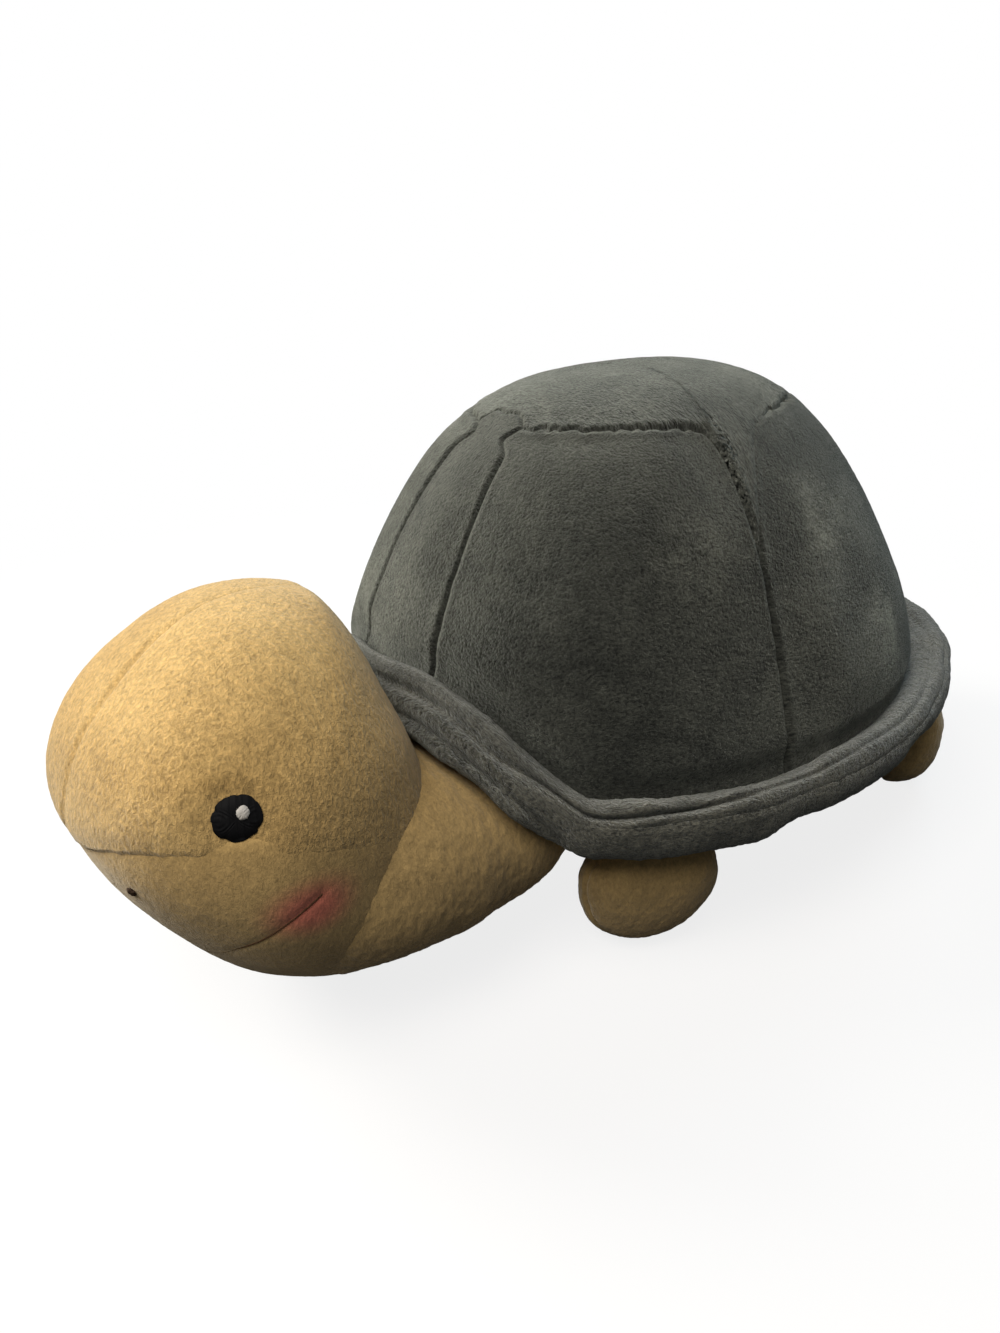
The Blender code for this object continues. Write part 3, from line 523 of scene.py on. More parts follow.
def pile_material(name, colour, lit_colour, fibre=(1.0, 1.0, 1.0), patch=30.0, map_name=None, fibre_contrast=0.5,
                  patch_contrast=0.3, bump=0.5, bump_height=0.5 * MM, sheen=0.5, sheen_tint=(1, 1, 1), blush=None, grazing_sheen=0.0, lower=None, brushed_sheen=()):
    """Cloth with a pile. fibre is how many tufts there are to a metre each way, grazing_sheen how much lighter the
    colour is painted where the cloth is seen from the side, a painted sheen standing in for the light on the pile's
    tips, lower the two darker colours that the cloth fades to below the eyes, a painted shade, and brushed_sheen the
    places where the nap lies the other way, painted lighter as the sheen that such pile catches."""
    material, tree, shader = new_material(name)
    if map_name:
        coordinates = tree.nodes.new("ShaderNodeUVMap")
        coordinates.uv_map = map_name
        place = coordinates.outputs["UV"]
    else:
        coordinates = tree.nodes.new("ShaderNodeTexCoord")
        place = coordinates.outputs["Object"]
    body_place = tree.nodes.new("ShaderNodeTexCoord").outputs["Object"]
    fibres = tree.nodes.new("ShaderNodeMapping")
    fibres.inputs["Scale"].default_value = fibre
    patches = tree.nodes.new("ShaderNodeMapping")
    patches.inputs["Scale"].default_value = (patch, patch, patch)
    pile = tree.nodes.new("ShaderNodeGroup")
    pile.node_tree = pile_group()
    pile.inputs["Fibre Contrast"].default_value = fibre_contrast
    pile.inputs["Patch Contrast"].default_value = patch_contrast
    link(tree, (place, fibres.inputs["Vector"]), (body_place, patches.inputs["Vector"]),
         (fibres.outputs[0], pile.inputs["Fibre Vector"]), (patches.outputs[0], pile.inputs["Patch Vector"]))
    base = mix_colour(tree, math_node(tree, 'MULTIPLY', pile.outputs["Patch"], 0.55), tuple(colour), tuple(lit_colour))
    # Painted shade: below the eyes the colour fades to two darker colours, darker towards the bottom, where the lower
    # parts lie in shade.
    if lower:
        height = tree.nodes.new("ShaderNodeSeparateXYZ")
        tree.links.new(body_place, height.inputs[0])
        under = mix_colour(tree, math_node(tree, 'MULTIPLY', pile.outputs["Patch"], 0.55), tuple(lower[0]), tuple(lower[1]))
        base = mix_colour(tree, spread(tree, height.outputs["Z"], 0.062, 0.095), under, base)
    # Painted sheen: where the nap lies the other way the colour is made much lighter, standing in for the light that
    # such pile catches.
    for centre, size, amount in brushed_sheen:
        spot = tree.nodes.new("ShaderNodeGroup")
        spot.node_tree = spot_group()
        spot.inputs["Centre"].default_value = centre
        spot.inputs["Size"].default_value = size
        tree.links.new(body_place, spot.inputs["Vector"])
        patchy = math_node(tree, 'ADD', math_node(tree, 'MULTIPLY', pile.outputs["Patch"], 0.8), 0.3)
        share = math_node(tree, 'MULTIPLY', math_node(tree, 'MULTIPLY', spot.outputs["Mask"], amount), patchy, clamp=True)
        base = mix_colour(tree, share, base, tuple(2.6 * value for value in lit_colour))
    if blush:
        spot = tree.nodes.new("ShaderNodeGroup")
        spot.node_tree = spot_group()
        spot.inputs["Centre"].default_value = blush["centre"]
        spot.inputs["Size"].default_value = blush["size"]
        tree.links.new(body_place, spot.inputs["Vector"])
        amount = math_node(tree, 'MULTIPLY', spot.outputs["Mask"], blush["strength"])
        base = mix_colour(tree, amount, base, tuple(blush["colour"]))
    # Painted sheen: the colour is made lighter where the cloth is seen edge-on, standing in for the light that the
    # pile's tips catch.
    if grazing_sheen:
        facing = tree.nodes.new("ShaderNodeLayerWeight")
        facing.inputs["Blend"].default_value = 0.5
        lighter = math_node(tree, 'ADD', math_node(tree, 'MULTIPLY', facing.outputs["Facing"], grazing_sheen), 1.0)
        lit = tree.nodes.new("ShaderNodeVectorMath")
        lit.operation = 'SCALE'
        link(tree, (base, lit.inputs[0]), (lighter, lit.inputs["Scale"]))
        base = lit.outputs[0]
    scaled = tree.nodes.new("ShaderNodeVectorMath")
    scaled.operation = 'SCALE'
    link(tree, (base, scaled.inputs[0]), (pile.outputs["Shade"], scaled.inputs["Scale"]), (scaled.outputs[0], shader.inputs["Base Color"]))
    relief = tree.nodes.new("ShaderNodeBump")
    relief.inputs["Strength"].default_value = bump
    relief.inputs["Distance"].default_value = bump_height
    link(tree, (pile.outputs["Height"], relief.inputs["Height"]), (relief.outputs[0], shader.inputs["Normal"]))
    shader.inputs["Roughness"].default_value = 0.95
    shader.inputs["Specular IOR Level"].default_value = 0.15
    shader.inputs["Sheen Weight"].default_value = sheen
    shader.inputs["Sheen Roughness"].default_value = 0.45
    shader.inputs["Sheen Tint"].default_value = (*sheen_tint, 1)
    return material


def satin_material(name, colour, roughness=0.38, map_name="cloth", threads=900.0, bump=0.6, shine=0.3):
    """Embroidery thread laid side by side."""
    material, tree, shader = new_material(name)
    coordinates = tree.nodes.new("ShaderNodeUVMap")
    coordinates.uv_map = map_name
    lines = tree.nodes.new("ShaderNodeMapping")
    lines.inputs["Scale"].default_value = (threads, threads * 0.06, 1)
    link(tree, (coordinates.outputs["UV"], lines.inputs["Vector"]))
    height = spread(tree, noise_node(tree, lines.outputs[0], 1.0, detail=1.5), 0.3, 0.7)
    # Painted shade: the thread's colour is darker where its height is low, between the stitches.
    shade = mix_colour(tree, height, tuple(value * 0.6 for value in colour), tuple(colour))
    relief = tree.nodes.new("ShaderNodeBump")
    relief.inputs["Strength"].default_value = bump
    relief.inputs["Distance"].default_value = 0.25 * MM
    link(tree, (shade, shader.inputs["Base Color"]), (height, relief.inputs["Height"]), (relief.outputs[0], shader.inputs["Normal"]))
    shader.inputs["Roughness"].default_value = roughness
    shader.inputs["Specular IOR Level"].default_value = shine
    return material


def fibre_fill_material():
    material, tree, shader = new_material("polyester_fibre")
    coordinates = tree.nodes.new("ShaderNodeTexCoord")
    height = noise_node(tree, coordinates.outputs["Object"], 260.0, detail=5.0, roughness=0.7, distortion=2.0)
    # Painted shade: the fibre is darker where its height is low, in the hollows between its tufts.
    shade = mix_colour(tree, spread(tree, height, 0.3, 0.7), (0.62, 0.61, 0.58), (0.86, 0.86, 0.84))
    relief = tree.nodes.new("ShaderNodeBump")
    relief.inputs["Strength"].default_value = 0.7
    relief.inputs["Distance"].default_value = 1.5 * MM
    link(tree, (shade, shader.inputs["Base Color"]), (height, relief.inputs["Height"]), (relief.outputs[0], shader.inputs["Normal"]))
    shader.inputs["Roughness"].default_value = 0.95
    shader.inputs["Sheen Weight"].default_value = 0.3
    return material


def cotton_material():
    material, tree, shader = new_material("cotton_bag")
    coordinates = tree.nodes.new("ShaderNodeTexCoord")
    weave = tree.nodes.new("ShaderNodeTexWave")
    weave.inputs["Scale"].default_value = 900.0
    weave.inputs["Distortion"].default_value = 1.5
    across = tree.nodes.new("ShaderNodeTexWave")
    across.bands_direction = 'Y'
    across.inputs["Scale"].default_value = 900.0
    across.inputs["Distortion"].default_value = 1.5
    link(tree, (coordinates.outputs["Object"], weave.inputs["Vector"]), (coordinates.outputs["Object"], across.inputs["Vector"]))
    height = math_node(tree, 'MULTIPLY', weave.outputs["Fac"], across.outputs["Fac"])
    # Painted shade: the weave is darker where its height is low, between the threads.
    shade = mix_colour(tree, height, (0.40, 0.39, 0.35), (0.60, 0.58, 0.53))
    relief = tree.nodes.new("ShaderNodeBump")
    relief.inputs["Strength"].default_value = 0.4
    relief.inputs["Distance"].default_value = 0.3 * MM
    link(tree, (shade, shader.inputs["Base Color"]), (height, relief.inputs["Height"]), (relief.outputs[0], shader.inputs["Normal"]))
    shader.inputs["Roughness"].default_value = 0.9
    return material


def cloth(name):
    """The toy's cloths, each made once."""
    if name in bpy.data.materials:
        return bpy.data.materials[name]
    colours = bpy.context.scene.turtle_cloth
    if name == "shell_cloth":
        return pile_material(name, colours.shell, (0.054, 0.057, 0.048), fibre=(850, 1350, 1), patch=38, map_name="cloth",
                             fibre_contrast=3.0, patch_contrast=0.60, bump=1.0, bump_height=1.1 * MM, sheen=0.5,
                             sheen_tint=(0.74, 0.79, 0.73), grazing_sheen=2.0,
                             # Three spots on the shell where the nap lies the other way, painted lighter as a sheen.
                             brushed_sheen=(((0.068, 0.042, 0.127), (0.022, 0.019, 0.028), 0.65), ((0.082, 0.060, 0.088), (0.020, 0.019, 0.021), 0.55),
                                      ((0.064, -0.004, 0.123), (0.017, 0.017, 0.021), 0.45)))
    if name == "brim_cloth":
        return pile_material(name, colours.brim, (0.130, 0.127, 0.104), fibre=(850, 1250, 1), patch=44, map_name="cloth",
                             fibre_contrast=3.0, patch_contrast=0.45, bump=1.0, bump_height=1.0 * MM, sheen=0.7,
                             sheen_tint=(0.74, 0.79, 0.78))
    blush = {"centre": (0.0558, -0.1272, 0.0614), "size": (0.020, 0.0170, 0.0115), "strength": 0.85, "colour": colours.blush}
    if name == "tan_cloth":
        return pile_material(name, colours.tan, (0.640, 0.445, 0.185), lower=(colours.muzzle, (0.480, 0.335, 0.140)), fibre=(1050, 1050, 600), patch=26, fibre_contrast=0.95,
                             patch_contrast=0.16, bump=0.8, bump_height=0.5 * MM, sheen=0.45, sheen_tint=(1.0, 0.93, 0.80), blush=blush)
    if name == "muzzle_cloth":
        return pile_material(name, colours.tan, (0.640, 0.445, 0.185), lower=(colours.muzzle, (0.480, 0.335, 0.140)), fibre=(1150, 1150, 700), patch=30, fibre_contrast=0.60,
                             patch_contrast=0.12, bump=0.5, bump_height=0.4 * MM, sheen=0.40, sheen_tint=(1.0, 0.93, 0.80), blush=blush)
    if name == "fibre_fill":
        return fibre_fill_material()
    raise ValueError("no cloth is called " + name)


# Shell

def shell_panel_grid(index, settings, seams):
    """Points, map and signed distance to the seams of one side panel, a little wider than its seams."""
    start = radians(CROWN_CORNERS[index - 1])
    span = (radians(CROWN_CORNERS[index]) - start) % (2 * pi)
    u, v = grid_axes(settings.panel_columns, settings.panel_rows)
    margin = 0.0025 / (span * SHELL_HALF_WIDTH)
    across = -margin + (1 + 2 * margin) * (0.6 * u + 0.2 * (1 - np.cos(pi * u)))
    azimuth = start + span * across
    for _ in range(3):
        low = climb_at_height(brim_z(azimuth) - 0.004)
        seam = climb_at_height(brim_z(azimuth) + 0.0094)
        high = crown_seam_climb(azimuth)
        top = seam_envelope(azimuth, np.max) + 0.0022 / SHELL_HEIGHT
        climb = low + (top - low) * v
        shift = side_seam_shift(index - 1, climb) * (1 - across) + side_seam_shift(index, climb) * across
        azimuth = start + span * across + shift
    points = dome_place(azimuth, climb)
    inside = (across > 0) & (across < 1) & (climb < high)
    distance = distance_to(seams, points) * np.where(inside, 1, -1)
    foot = (climb - seam) * SHELL_HEIGHT
    nap = np.stack([(across - 0.5) * span * 0.105, climb * 0.115], -1)
    fullness = np.clip(across * (1 - across) * 4, 0, 1) * np.clip((climb - seam) * (high - climb) / ((high - seam) / 2) ** 2, 0, 1)
    return points, dome_normals(azimuth, climb), seam_strength(azimuth, climb), nap, distance, foot, fullness


def pile_relief(nap, seed, settings, length):
    rows = tufts(nap[..., 1], nap[..., 0], seed, width=0.95 * MM, length=length)
    slow = noise(np.stack([nap[..., 0] / (26 * MM), nap[..., 1] / (22 * MM), nap[..., 0] * 0 + seed], -1), seed + 9)
    return settings.tuft_height * (rows - 0.5) + 1.5 * MM * (slow - 0.5)


class OBJECT_OT_turtle_shell(bpy.types.Operator):
    """Sew the dome's crown and its six side panels"""
    bl_idname = "object.turtle_shell"
    bl_label = "Shell"

    def execute(self, context):
        settings = context.scene.turtle_shell
        material = cloth("shell_cloth")
        middle = Vector((0, SHELL_CENTRE_Y, SHELL_BASE_Z))
        seams = dome_seams()
        for index, name in enumerate(PANEL_NAMES):
            points, normals, strength, nap, distance, foot, fullness = shell_panel_grid(index, settings, seams)
            flank = 4.0 * MM * smooth_step(distance / 0.024) * np.exp(-((points[..., 2] - 0.092) / 0.026) ** 2) * np.clip(np.abs(points[..., 0]) / 0.09, 0, 1) ** 2
            offset = seam_dip(distance, settings.seam_depth * strength, settings.seam_width) + settings.fullness * fullness + flank * (index in (2, 4))
            calm = smooth_step(distance / (2.5 * MM))
            offset = offset + pile_relief(nap, 20 + index, settings, 2.0 * MM) * calm
            offset = offset - 0.0024 * (1 - smooth_step(foot / 0.009))
            piece = sew("shell_" + name, points + normals * offset[..., None], nap, keep=distance > -0.0024, outward=lambda centre: middle)
            dress(piece, material, "body", "shell_minky", "shell_" + name + "_panel")
        self.sew_crown(settings, material, middle, seams)
        return {'FINISHED'}

    def sew_crown(self, settings, material, middle, seams):
        count = 330
        u, v = grid_axes(count, count)
        a, b = 2 * u - 1, 2 * v - 1
        ring = np.maximum(np.abs(a), np.abs(b))
        azimuth = np.arctan2(a, -b)
        for tongue in (radians(81), radians(-81)):
            away = azimuth - tongue
            azimuth = azimuth - 0.67 * away * np.exp(-(away / radians(12)) ** 2)
        climb = pi / 2 - (pi / 2 - seam_envelope(azimuth, np.min) + 0.03) * ring
        points = dome_place(azimuth, climb)
        distance = distance_to(seams, points) * np.where(climb > crown_seam_climb(azimuth), 1, -1)
        normals = dome_normals(azimuth, climb)
        nap = np.stack([points[..., 0], points[..., 1]], -1)
        depth = settings.seam_depth * seam_strength(azimuth, climb)
        offset = seam_dip(distance, depth, settings.seam_width) - 1.3 * MM * smooth_step(distance / 0.03)
        offset = offset + pile_relief(nap, 40, settings, 2.0 * MM) * smooth_step(distance / (2.5 * MM))
        piece = sew("shell_crown", points + normals * offset[..., None], nap, keep=distance > -0.0024, outward=lambda centre: middle)
        dress(piece, material, "body", "shell_minky", "shell_crown_panel")


# Brim

def brim_surface(azimuth, turn, settings):
    """Points of the padded roll: turn runs from its lower seam, 0, over its outside, to its top, pi, and on inwards."""
    front = front_degrees(azimuth)
    rise = np.sin(turn)
    climb = (1 - np.cos(turn)) / 2
    low = smooth_step((radians(105) - turn) / radians(60))
    arch = arch_share(azimuth)
    z = brim_z(azimuth) - settings.height * np.cos(turn)
    z = z - low * (4.2 * MM * np.exp(-((front - 40) / 7) ** 2) + 2.0 * MM * smooth_step((front - 47) / 6) * smooth_step((78 - front) / 8))
    z = z + 7.5 * MM * smooth_step((front - 100) / 45) * np.maximum(rise, 0)
    base = shell_place(azimuth, brim_seam_share(azimuth, climb), z)
    stand_off = settings.stand_off * smooth_step(turn / (0.6 * pi))
    swell = brim_reach(azimuth) + 0.0010 - stand_off * 0.75 + 1.6 * MM * np.exp(-((front - 116) / 14) ** 2)
    flap = settings.flap_reach * smooth_step((arch - 0.2) / 0.45) * smooth_step((radians(153) - turn) / radians(99))
    reach = stand_off + swell * rise + flap
    return base + np.stack([reach * np.sin(azimuth), -reach * np.cos(azimuth), 0 * reach], -1)


def brim_fold(azimuth, turn, settings):
    """The fold along the brim, its second fold over the neck, and its puckers at the front corners."""
    front = front_degrees(azimuth)
    wander = noise(np.stack([azimuth * 5, azimuth * 0, azimuth * 0], -1), 61) - 0.5
    fold_turn = np.interp(front, (0, 20, 32, 40, 48, 60, 72, 100, 180), np.radians((128, 128, 124, 134, 139, 144, 160, 163, 160)))
    fold_turn = fold_turn + 0.16 * wander
    strength = 0.30 + 0.70 * smooth_step((75 - front) / 20)
    fold = -settings.crease_depth * strength * np.exp(-((turn - fold_turn) / 0.14) ** 2)
    second_turn = np.interp(front, (0, 25, 33, 40), np.radians((88, 88, 84, 62))) + 0.2 * wander
    second = -0.8 * settings.crease_depth * np.exp(-((turn - second_turn) / 0.17) ** 2) * smooth_step((44 - front) / 8)
    corner = np.exp(-((front - 58) / 13) ** 2)
    pucker = np.sin(np.radians(front) * 21 + 1.6 * np.sin(np.radians(front) * 7)) * corner
    top = np.exp(-((turn - radians(158)) / 0.5) ** 2)
    slow = noise(np.stack([azimuth * 8, turn * 0.9, azimuth * 0], -1), 63) - 0.5
    return fold + second + settings.pucker * pucker * top + 2.2 * MM * slow


class OBJECT_OT_turtle_brim(bpy.types.Operator):
    """Sew the padded brim from its upper and lower strips"""
    bl_idname = "object.turtle_brim"
    bl_label = "Brim"

    def execute(self, context):
        settings = context.scene.turtle_brim
        material = cloth("brim_cloth")
        seam = radians(120)
        self.sew_strip(settings, material, "brim_lower", radians(-70), seam + 0.1, 88, seam, -1, "brim_lower_strip")
        self.sew_strip(settings, material, "brim_upper", seam - 0.1, radians(290), 78, seam, 1, "brim_upper_strip")
        return {'FINISHED'}

    def sew_strip(self, settings, material, name, low, high, rows, seam, side, node):
        u, v = grid_axes(960, rows)
        azimuth = 2 * pi * u
        turn = low + (high - low) * v
        points = brim_surface(azimuth, turn, settings)
        normals = surface_normals(points)
        core = brim_surface(azimuth, turn * 0 + pi, settings)
        core[..., 2] = brim_z(azimuth)
        if (normals * (points - core)).sum() < 0:
            normals = -normals
        distance = side * (turn - seam) * settings.height
        dip = np.where(distance >= 0, -0.35 * MM * np.exp(-(distance / (1.1 * MM)) ** 2), -0.35 * MM - 1.4 * np.abs(distance))
        nap = np.stack([azimuth * 0.112, turn * settings.height], -1)
        rows_of_tufts = tufts(nap[..., 0], nap[..., 1], 70 + side, width=1.1 * MM, length=2.6 * MM)
        offset = dip + brim_fold(azimuth, turn, settings) + settings.tuft_height * (rows_of_tufts - 0.5) * np.sin(pi * np.clip(u * 0 + 1, 0, 0.5))
        moved = points + normals * offset[..., None]
        moved[:, -1] = moved[:, 0]
        piece = sew(name, moved, nap)
        mesh = piece.data
        turned = 0
        for face in (mesh.polygons[number] for number in range(0, len(mesh.polygons), 53)):
            azimuth_here = np.arctan2(face.center.x / SHELL_HALF_WIDTH, (SHELL_CENTRE_Y - face.center.y) / SHELL_HALF_LENGTH)
            middle = brim_surface(np.array(azimuth_here), np.array(pi), settings)
            middle[2] = brim_z(np.array(azimuth_here))
            turned += (face.center - Vector(middle)).dot(face.normal)
        if turned < 0:
            choose(piece)
            bpy.ops.object.mode_set(mode='EDIT')
            bpy.ops.mesh.select_all(action='SELECT')
            bpy.ops.mesh.flip_normals()
            bpy.ops.object.mode_set(mode='OBJECT')
        dress(piece, material, "body", "brim_minky", node)


# Belly

class OBJECT_OT_turtle_belly(bpy.types.Operator):
    """Sew the belly panel under the body, with its hand-closed seam"""
    bl_idname = "object.turtle_belly"
    bl_label = "Belly"

    def execute(self, context):
        count = 160
        u, v = grid_axes(count, count)
        a, b = 2 * u - 1, 2 * v - 1
        ring = np.maximum(np.abs(a), np.abs(b))
        azimuth = np.arctan2(a, -b)
        rim = brim_seam_share(azimuth, 0 * azimuth)
        turn = pi / 2 * ring
        share = rim * np.sin(turn) ** 0.92 * 1.0
        edge_z = brim_z(azimuth) - 0.0094 + 0.002
        z = 0.0215 + (edge_z - 0.0215) * (1 - np.cos(turn) ** 1.15)
        points = shell_place(azimuth, share, z)
        normals = surface_normals(points)
        if normals[..., 2].sum() > 0:
            normals = -normals
        nap = np.stack([points[..., 0], points[..., 1]], -1)
        closing = np.exp(-(points[..., 0] / (0.9 * MM)) ** 2) * smooth_step((0.034 - np.abs(points[..., 1] - 0.062)) / 0.006)
        slow = noise(points / (17 * MM), 83) - 0.5
        offset = 0.3 * MM * (fluff(points, 81) - 0.5) + 1.5 * MM * slow - 1.2 * MM * closing
        piece = sew("belly", points + normals * offset[..., None], nap, outward=lambda centre: Vector((0, SHELL_CENTRE_Y, 0.09)))
        dress(piece, cloth("muzzle_cloth"), "body", "tan_plush", "belly_panel")
        return {'FINISHED'}


# Neck

NECK_SECTIONS = (
    # y, height of the middle, half width, rise, drop, all in millimetres
    (-128, 48, 47, 28, 26), (-118, 47, 54.8, 33, 32), (-106, 45.5, 57.3, 37, 34.5), (-94, 44.5, 58.8, 38, 34.5), (-82, 43.5, 59, 35, 33.5),
    (-70, 43.5, 57.5, 29, 33), (-58, 43.5, 57, 23, 32.5), (-47, 43.5, 55, 17, 31), (-38, 44, 50, 14, 27), (-30, 44, 38, 10, 17),
)


class OBJECT_OT_turtle_neck(bpy.types.Operator):
    """Sew the neck from behind the head to inside the body"""
    bl_idname = "object.turtle_neck"
    bl_label = "Neck"

    def execute(self, context):
        table = np.array(NECK_SECTIONS) * MM
        u, v = grid_axes(400, 170)
        y = table[0, 0] + (table[-1, 0] - table[0, 0]) * v
        known = table[:, 0]
        fine = np.linspace(known[0], known[-1], 400)
        kernel = np.hanning(61)
        kernel /= kernel.sum()

        def column(index):
            values = np.interp(fine, known, table[:, index])
            values = np.convolve(np.pad(values, 30, mode='edge'), kernel, mode='valid')
            return np.interp(y, fine, values)

        middle, width, rise, drop = (column(index) for index in (1, 2, 3, 4))
        around = 2 * pi * u
        across, up = np.cos(around), np.sin(around)
        round_off = (np.abs(across) ** 2.15 + np.abs(up) ** 2.15) ** (-1 / 2.15)
        points = np.stack([width * across * round_off, y, middle + np.where(up > 0, rise, drop) * up * round_off], -1)
        normals = surface_normals(points)
        core = np.stack([0 * y, y, middle], -1)
        if (normals * (points - core)).sum() < 0:
            normals = -normals
        folds = noise(points / np.array((20 * MM, 13 * MM, 24 * MM)), 92) - 0.5
        offset = 0.32 * MM * (fluff(points, 91) - 0.5) * 2 + 2.2 * MM * folds
        moved = points + normals * offset[..., None]
        moved[:, -1] = moved[:, 0]
        nap = np.stack([around * 0.05, y], -1)
        piece = sew("neck", moved, nap, outward=lambda centre: Vector((0, centre.y, 0.044)))
        dress(piece, cloth("muzzle_cloth"), "neck", "tan_plush", "neck_cover", bends=True)
        return {'FINISHED'}


# Head

NOSE_Y, NOSE_Z, HEAD_LENGTH, HEAD_SLOPE = -0.1662, 0.0751, 0.0860, 0.39
HEAD_BACK = (
    # height, how far the back of the head leans over the neck, in millimetres
    (28, 1), (40, 4), (52, 8.5), (63.5, 11), (82.5, 8), (94.5, 5.3), (114.5, 2.3), (130, 1),
)
EYE_CENTRE = Vector((0.0478, -0.1385, 0.0878))


def head_surface(along, around):
    swell = np.sqrt(np.maximum(1 - along ** 2, 0))
    up = np.sin(around)
    length = np.where(up > 0, 0.0700, 0.0520)
    length = 0.0442 + (length - 0.0442) * up ** 2
    rise = np.where(up > 0, 0.0728 * swell ** 1.45, 0.0460 * swell ** 1.25)
    back = np.where(along < 0, length * (1 + along), length + (HEAD_LENGTH - length) * along)
    y = NOSE_Y + back
    z = NOSE_Z - HEAD_SLOPE * back + rise * up
    lean = np.array(HEAD_BACK) * MM
    y = y + np.interp(z, lean[:, 0], lean[:, 1]) * smooth_step((y + 0.128) / 0.040)
    return np.stack([0.0565 * swell ** 0.85 * np.cos(around), y, z], -1)


def muzzle_seam_z(x, y):
    rise = 0.0113 * np.sin(pi / 2 * np.minimum(np.abs(x) / 0.0450, 1)) ** 1.4
    ragged = 0.7 * MM * (noise(np.stack([x / (2.6 * MM), y / (2.6 * MM), 0 * x], -1), 13) - 0.5)
    return 0.0703 + rise - 0.38 * np.maximum(y + 0.1400, 0) + ragged


SMILE_POINTS = (
    # the smile from the middle of the muzzle round to the left cheek, in millimetres
    (0, -150, 36), (13, -150, 37.5), (26, -149, 41), (38, -146.5, 46.5), (46, -144, 50.8), (49.8, -142, 53), (52.4, -139, 55.2),
    (54, -136.6, 57), (55.1, -132.5, 59.6), (55.7, -129, 61.6), (56.3, -124, 64),
)


def smile_distance(points):
    """Distance from each point to the smile's line, on either cheek."""
    line = np.array(SMILE_POINTS) * MM
    folded = points * 1.0
    folded[..., 0] = np.abs(folded[..., 0])
    nearest = np.full(points.shape[:-1], 1.0)
    for start, end in zip(line[:-1], line[1:]):
        run = end - start
        share = np.clip(((folded - start) * run).sum(-1) / (run * run).sum(), 0, 1)
        nearest = np.minimum(nearest, np.linalg.norm(folded - start - share[..., None] * run, axis=-1))
    return nearest


class OBJECT_OT_turtle_head(bpy.types.Operator):
    """Sew the head from its two upper panels and its muzzle"""
    bl_idname = "object.turtle_head"
    bl_label = "Head"

    def execute(self, context):
        settings = context.scene.turtle_head
        u, v = grid_axes(settings.columns, settings.rows)
        around = 2 * pi * u
        along = -np.cos(pi * v)
        points = head_surface(along, around)
        normals = surface_normals(points)
        centre = np.array((0, -0.118, 0.066))
        if (normals * (points - centre)).sum() < 0:
            normals = -normals
        normals[0, :] = np.array((0, -0.93, -0.36))
        normals[-1, :] = np.array((0, 1, 0))
        above = (points[..., 2] - muzzle_seam_z(points[..., 0], points[..., 1])) * 0.9
        fade = smooth_step((-0.131 - points[..., 1]) / 0.016)
        long_pile = fluff(points * np.array((1, 1, 0.55)), 101, size=1.15 * MM) - 0.5
        near = np.exp(-(above / (3 * MM)) ** 2)
        short_pile = (fluff(points, 103, size=1.1 * MM) - 0.5) * (1 - near) + long_pile * near
        slow = noise(points / (22 * MM), 105) - 0.5
        eye = np.minimum(self.eye_distance(points, 1), self.eye_distance(points, -1))
        dimple = -1.2 * MM * np.exp(-(np.maximum(eye - 0.0050, 0) / 0.0040) ** 2)
        trim = -2.2 * MM * np.clip(-normals[..., 1] + 0.25, 0, 1) * smooth_step((points[..., 2] - 0.088) / 0.026)
        upper = settings.brow_overhang * fade * smooth_step(above / 0.010 + 0.35) * np.exp(-np.maximum(above, 0) / 0.03)
        seam_pile = settings.muzzle_tuft_height + (settings.tuft_height - settings.muzzle_tuft_height) * smooth_step(above / 0.006)
        upper = upper + seam_pile * 2 * long_pile + 1.3 * MM * slow + dimple + trim
        past = np.abs(above)
        slip = -(0.10 + 0.35 * fade) * past - 1.2 * np.maximum(past - 2.0 * MM, 0)
        lip = np.where(above >= 0, 0, slip)
        for name, side in (("left", 1), ("right", -1)):
            across = points[..., 0] * side
            depth = 0.25 * MM + 0.65 * MM * smooth_step((-0.122 - points[..., 1]) / 0.02)
            middle_seam = np.where(across >= 0, -depth * np.exp(-(across / (1.5 * MM)) ** 2), -depth - 1.5 * np.abs(across))
            offset = upper + lip + middle_seam
            keep = (above > -0.0044) & (across > -0.0016)
            piece = sew("head_" + name, points + normals * offset[..., None], self.nap(points), keep=keep,
                        outward=lambda spot: Vector(centre))
            dress(piece, cloth("tan_cloth"), "head", "tan_plush", "head_" + name + "_panel", bends=True)
        groove = -0.45 * MM * np.exp(-(smile_distance(points) / (1.4 * MM)) ** 2) * smooth_step((np.abs(points[..., 0]) - 0.040) / 0.010)
        muzzle = -0.0003 * fade + settings.muzzle_tuft_height * 2 * short_pile + 1.3 * MM * slow + groove
        muzzle = muzzle + np.where(above <= 0, 0, slip)
        piece = sew("muzzle", points + normals * muzzle[..., None], self.nap(points), keep=above < 0.0044,
                    outward=lambda spot: Vector(centre))
        dress(piece, cloth("muzzle_cloth"), "head", "muzzle_plush", "muzzle_panel", bends=True)
        return {'FINISHED'}

    def eye_distance(self, points, side):
        centre = np.array((EYE_CENTRE.x * side, EYE_CENTRE.y, EYE_CENTRE.z))
        return np.linalg.norm(points - centre, axis=-1)

    def nap(self, points):
        return np.stack([points[..., 0], points[..., 2]], -1)


# Face

def cast(points, directions, targets):
    """Where rays meet the named pieces, with the normals there."""
    found = []
    for point, direction in zip(points, directions):
        best = None
        for target in targets:
            hit, place, normal, _ = target.ray_cast(Vector(point), Vector(direction), distance=0.2)
            if hit and (best is None or (place - Vector(point)).length < (best[0] - Vector(point)).length):
                best = (place.copy(), normal.copy())
        found.append(best)
    return found


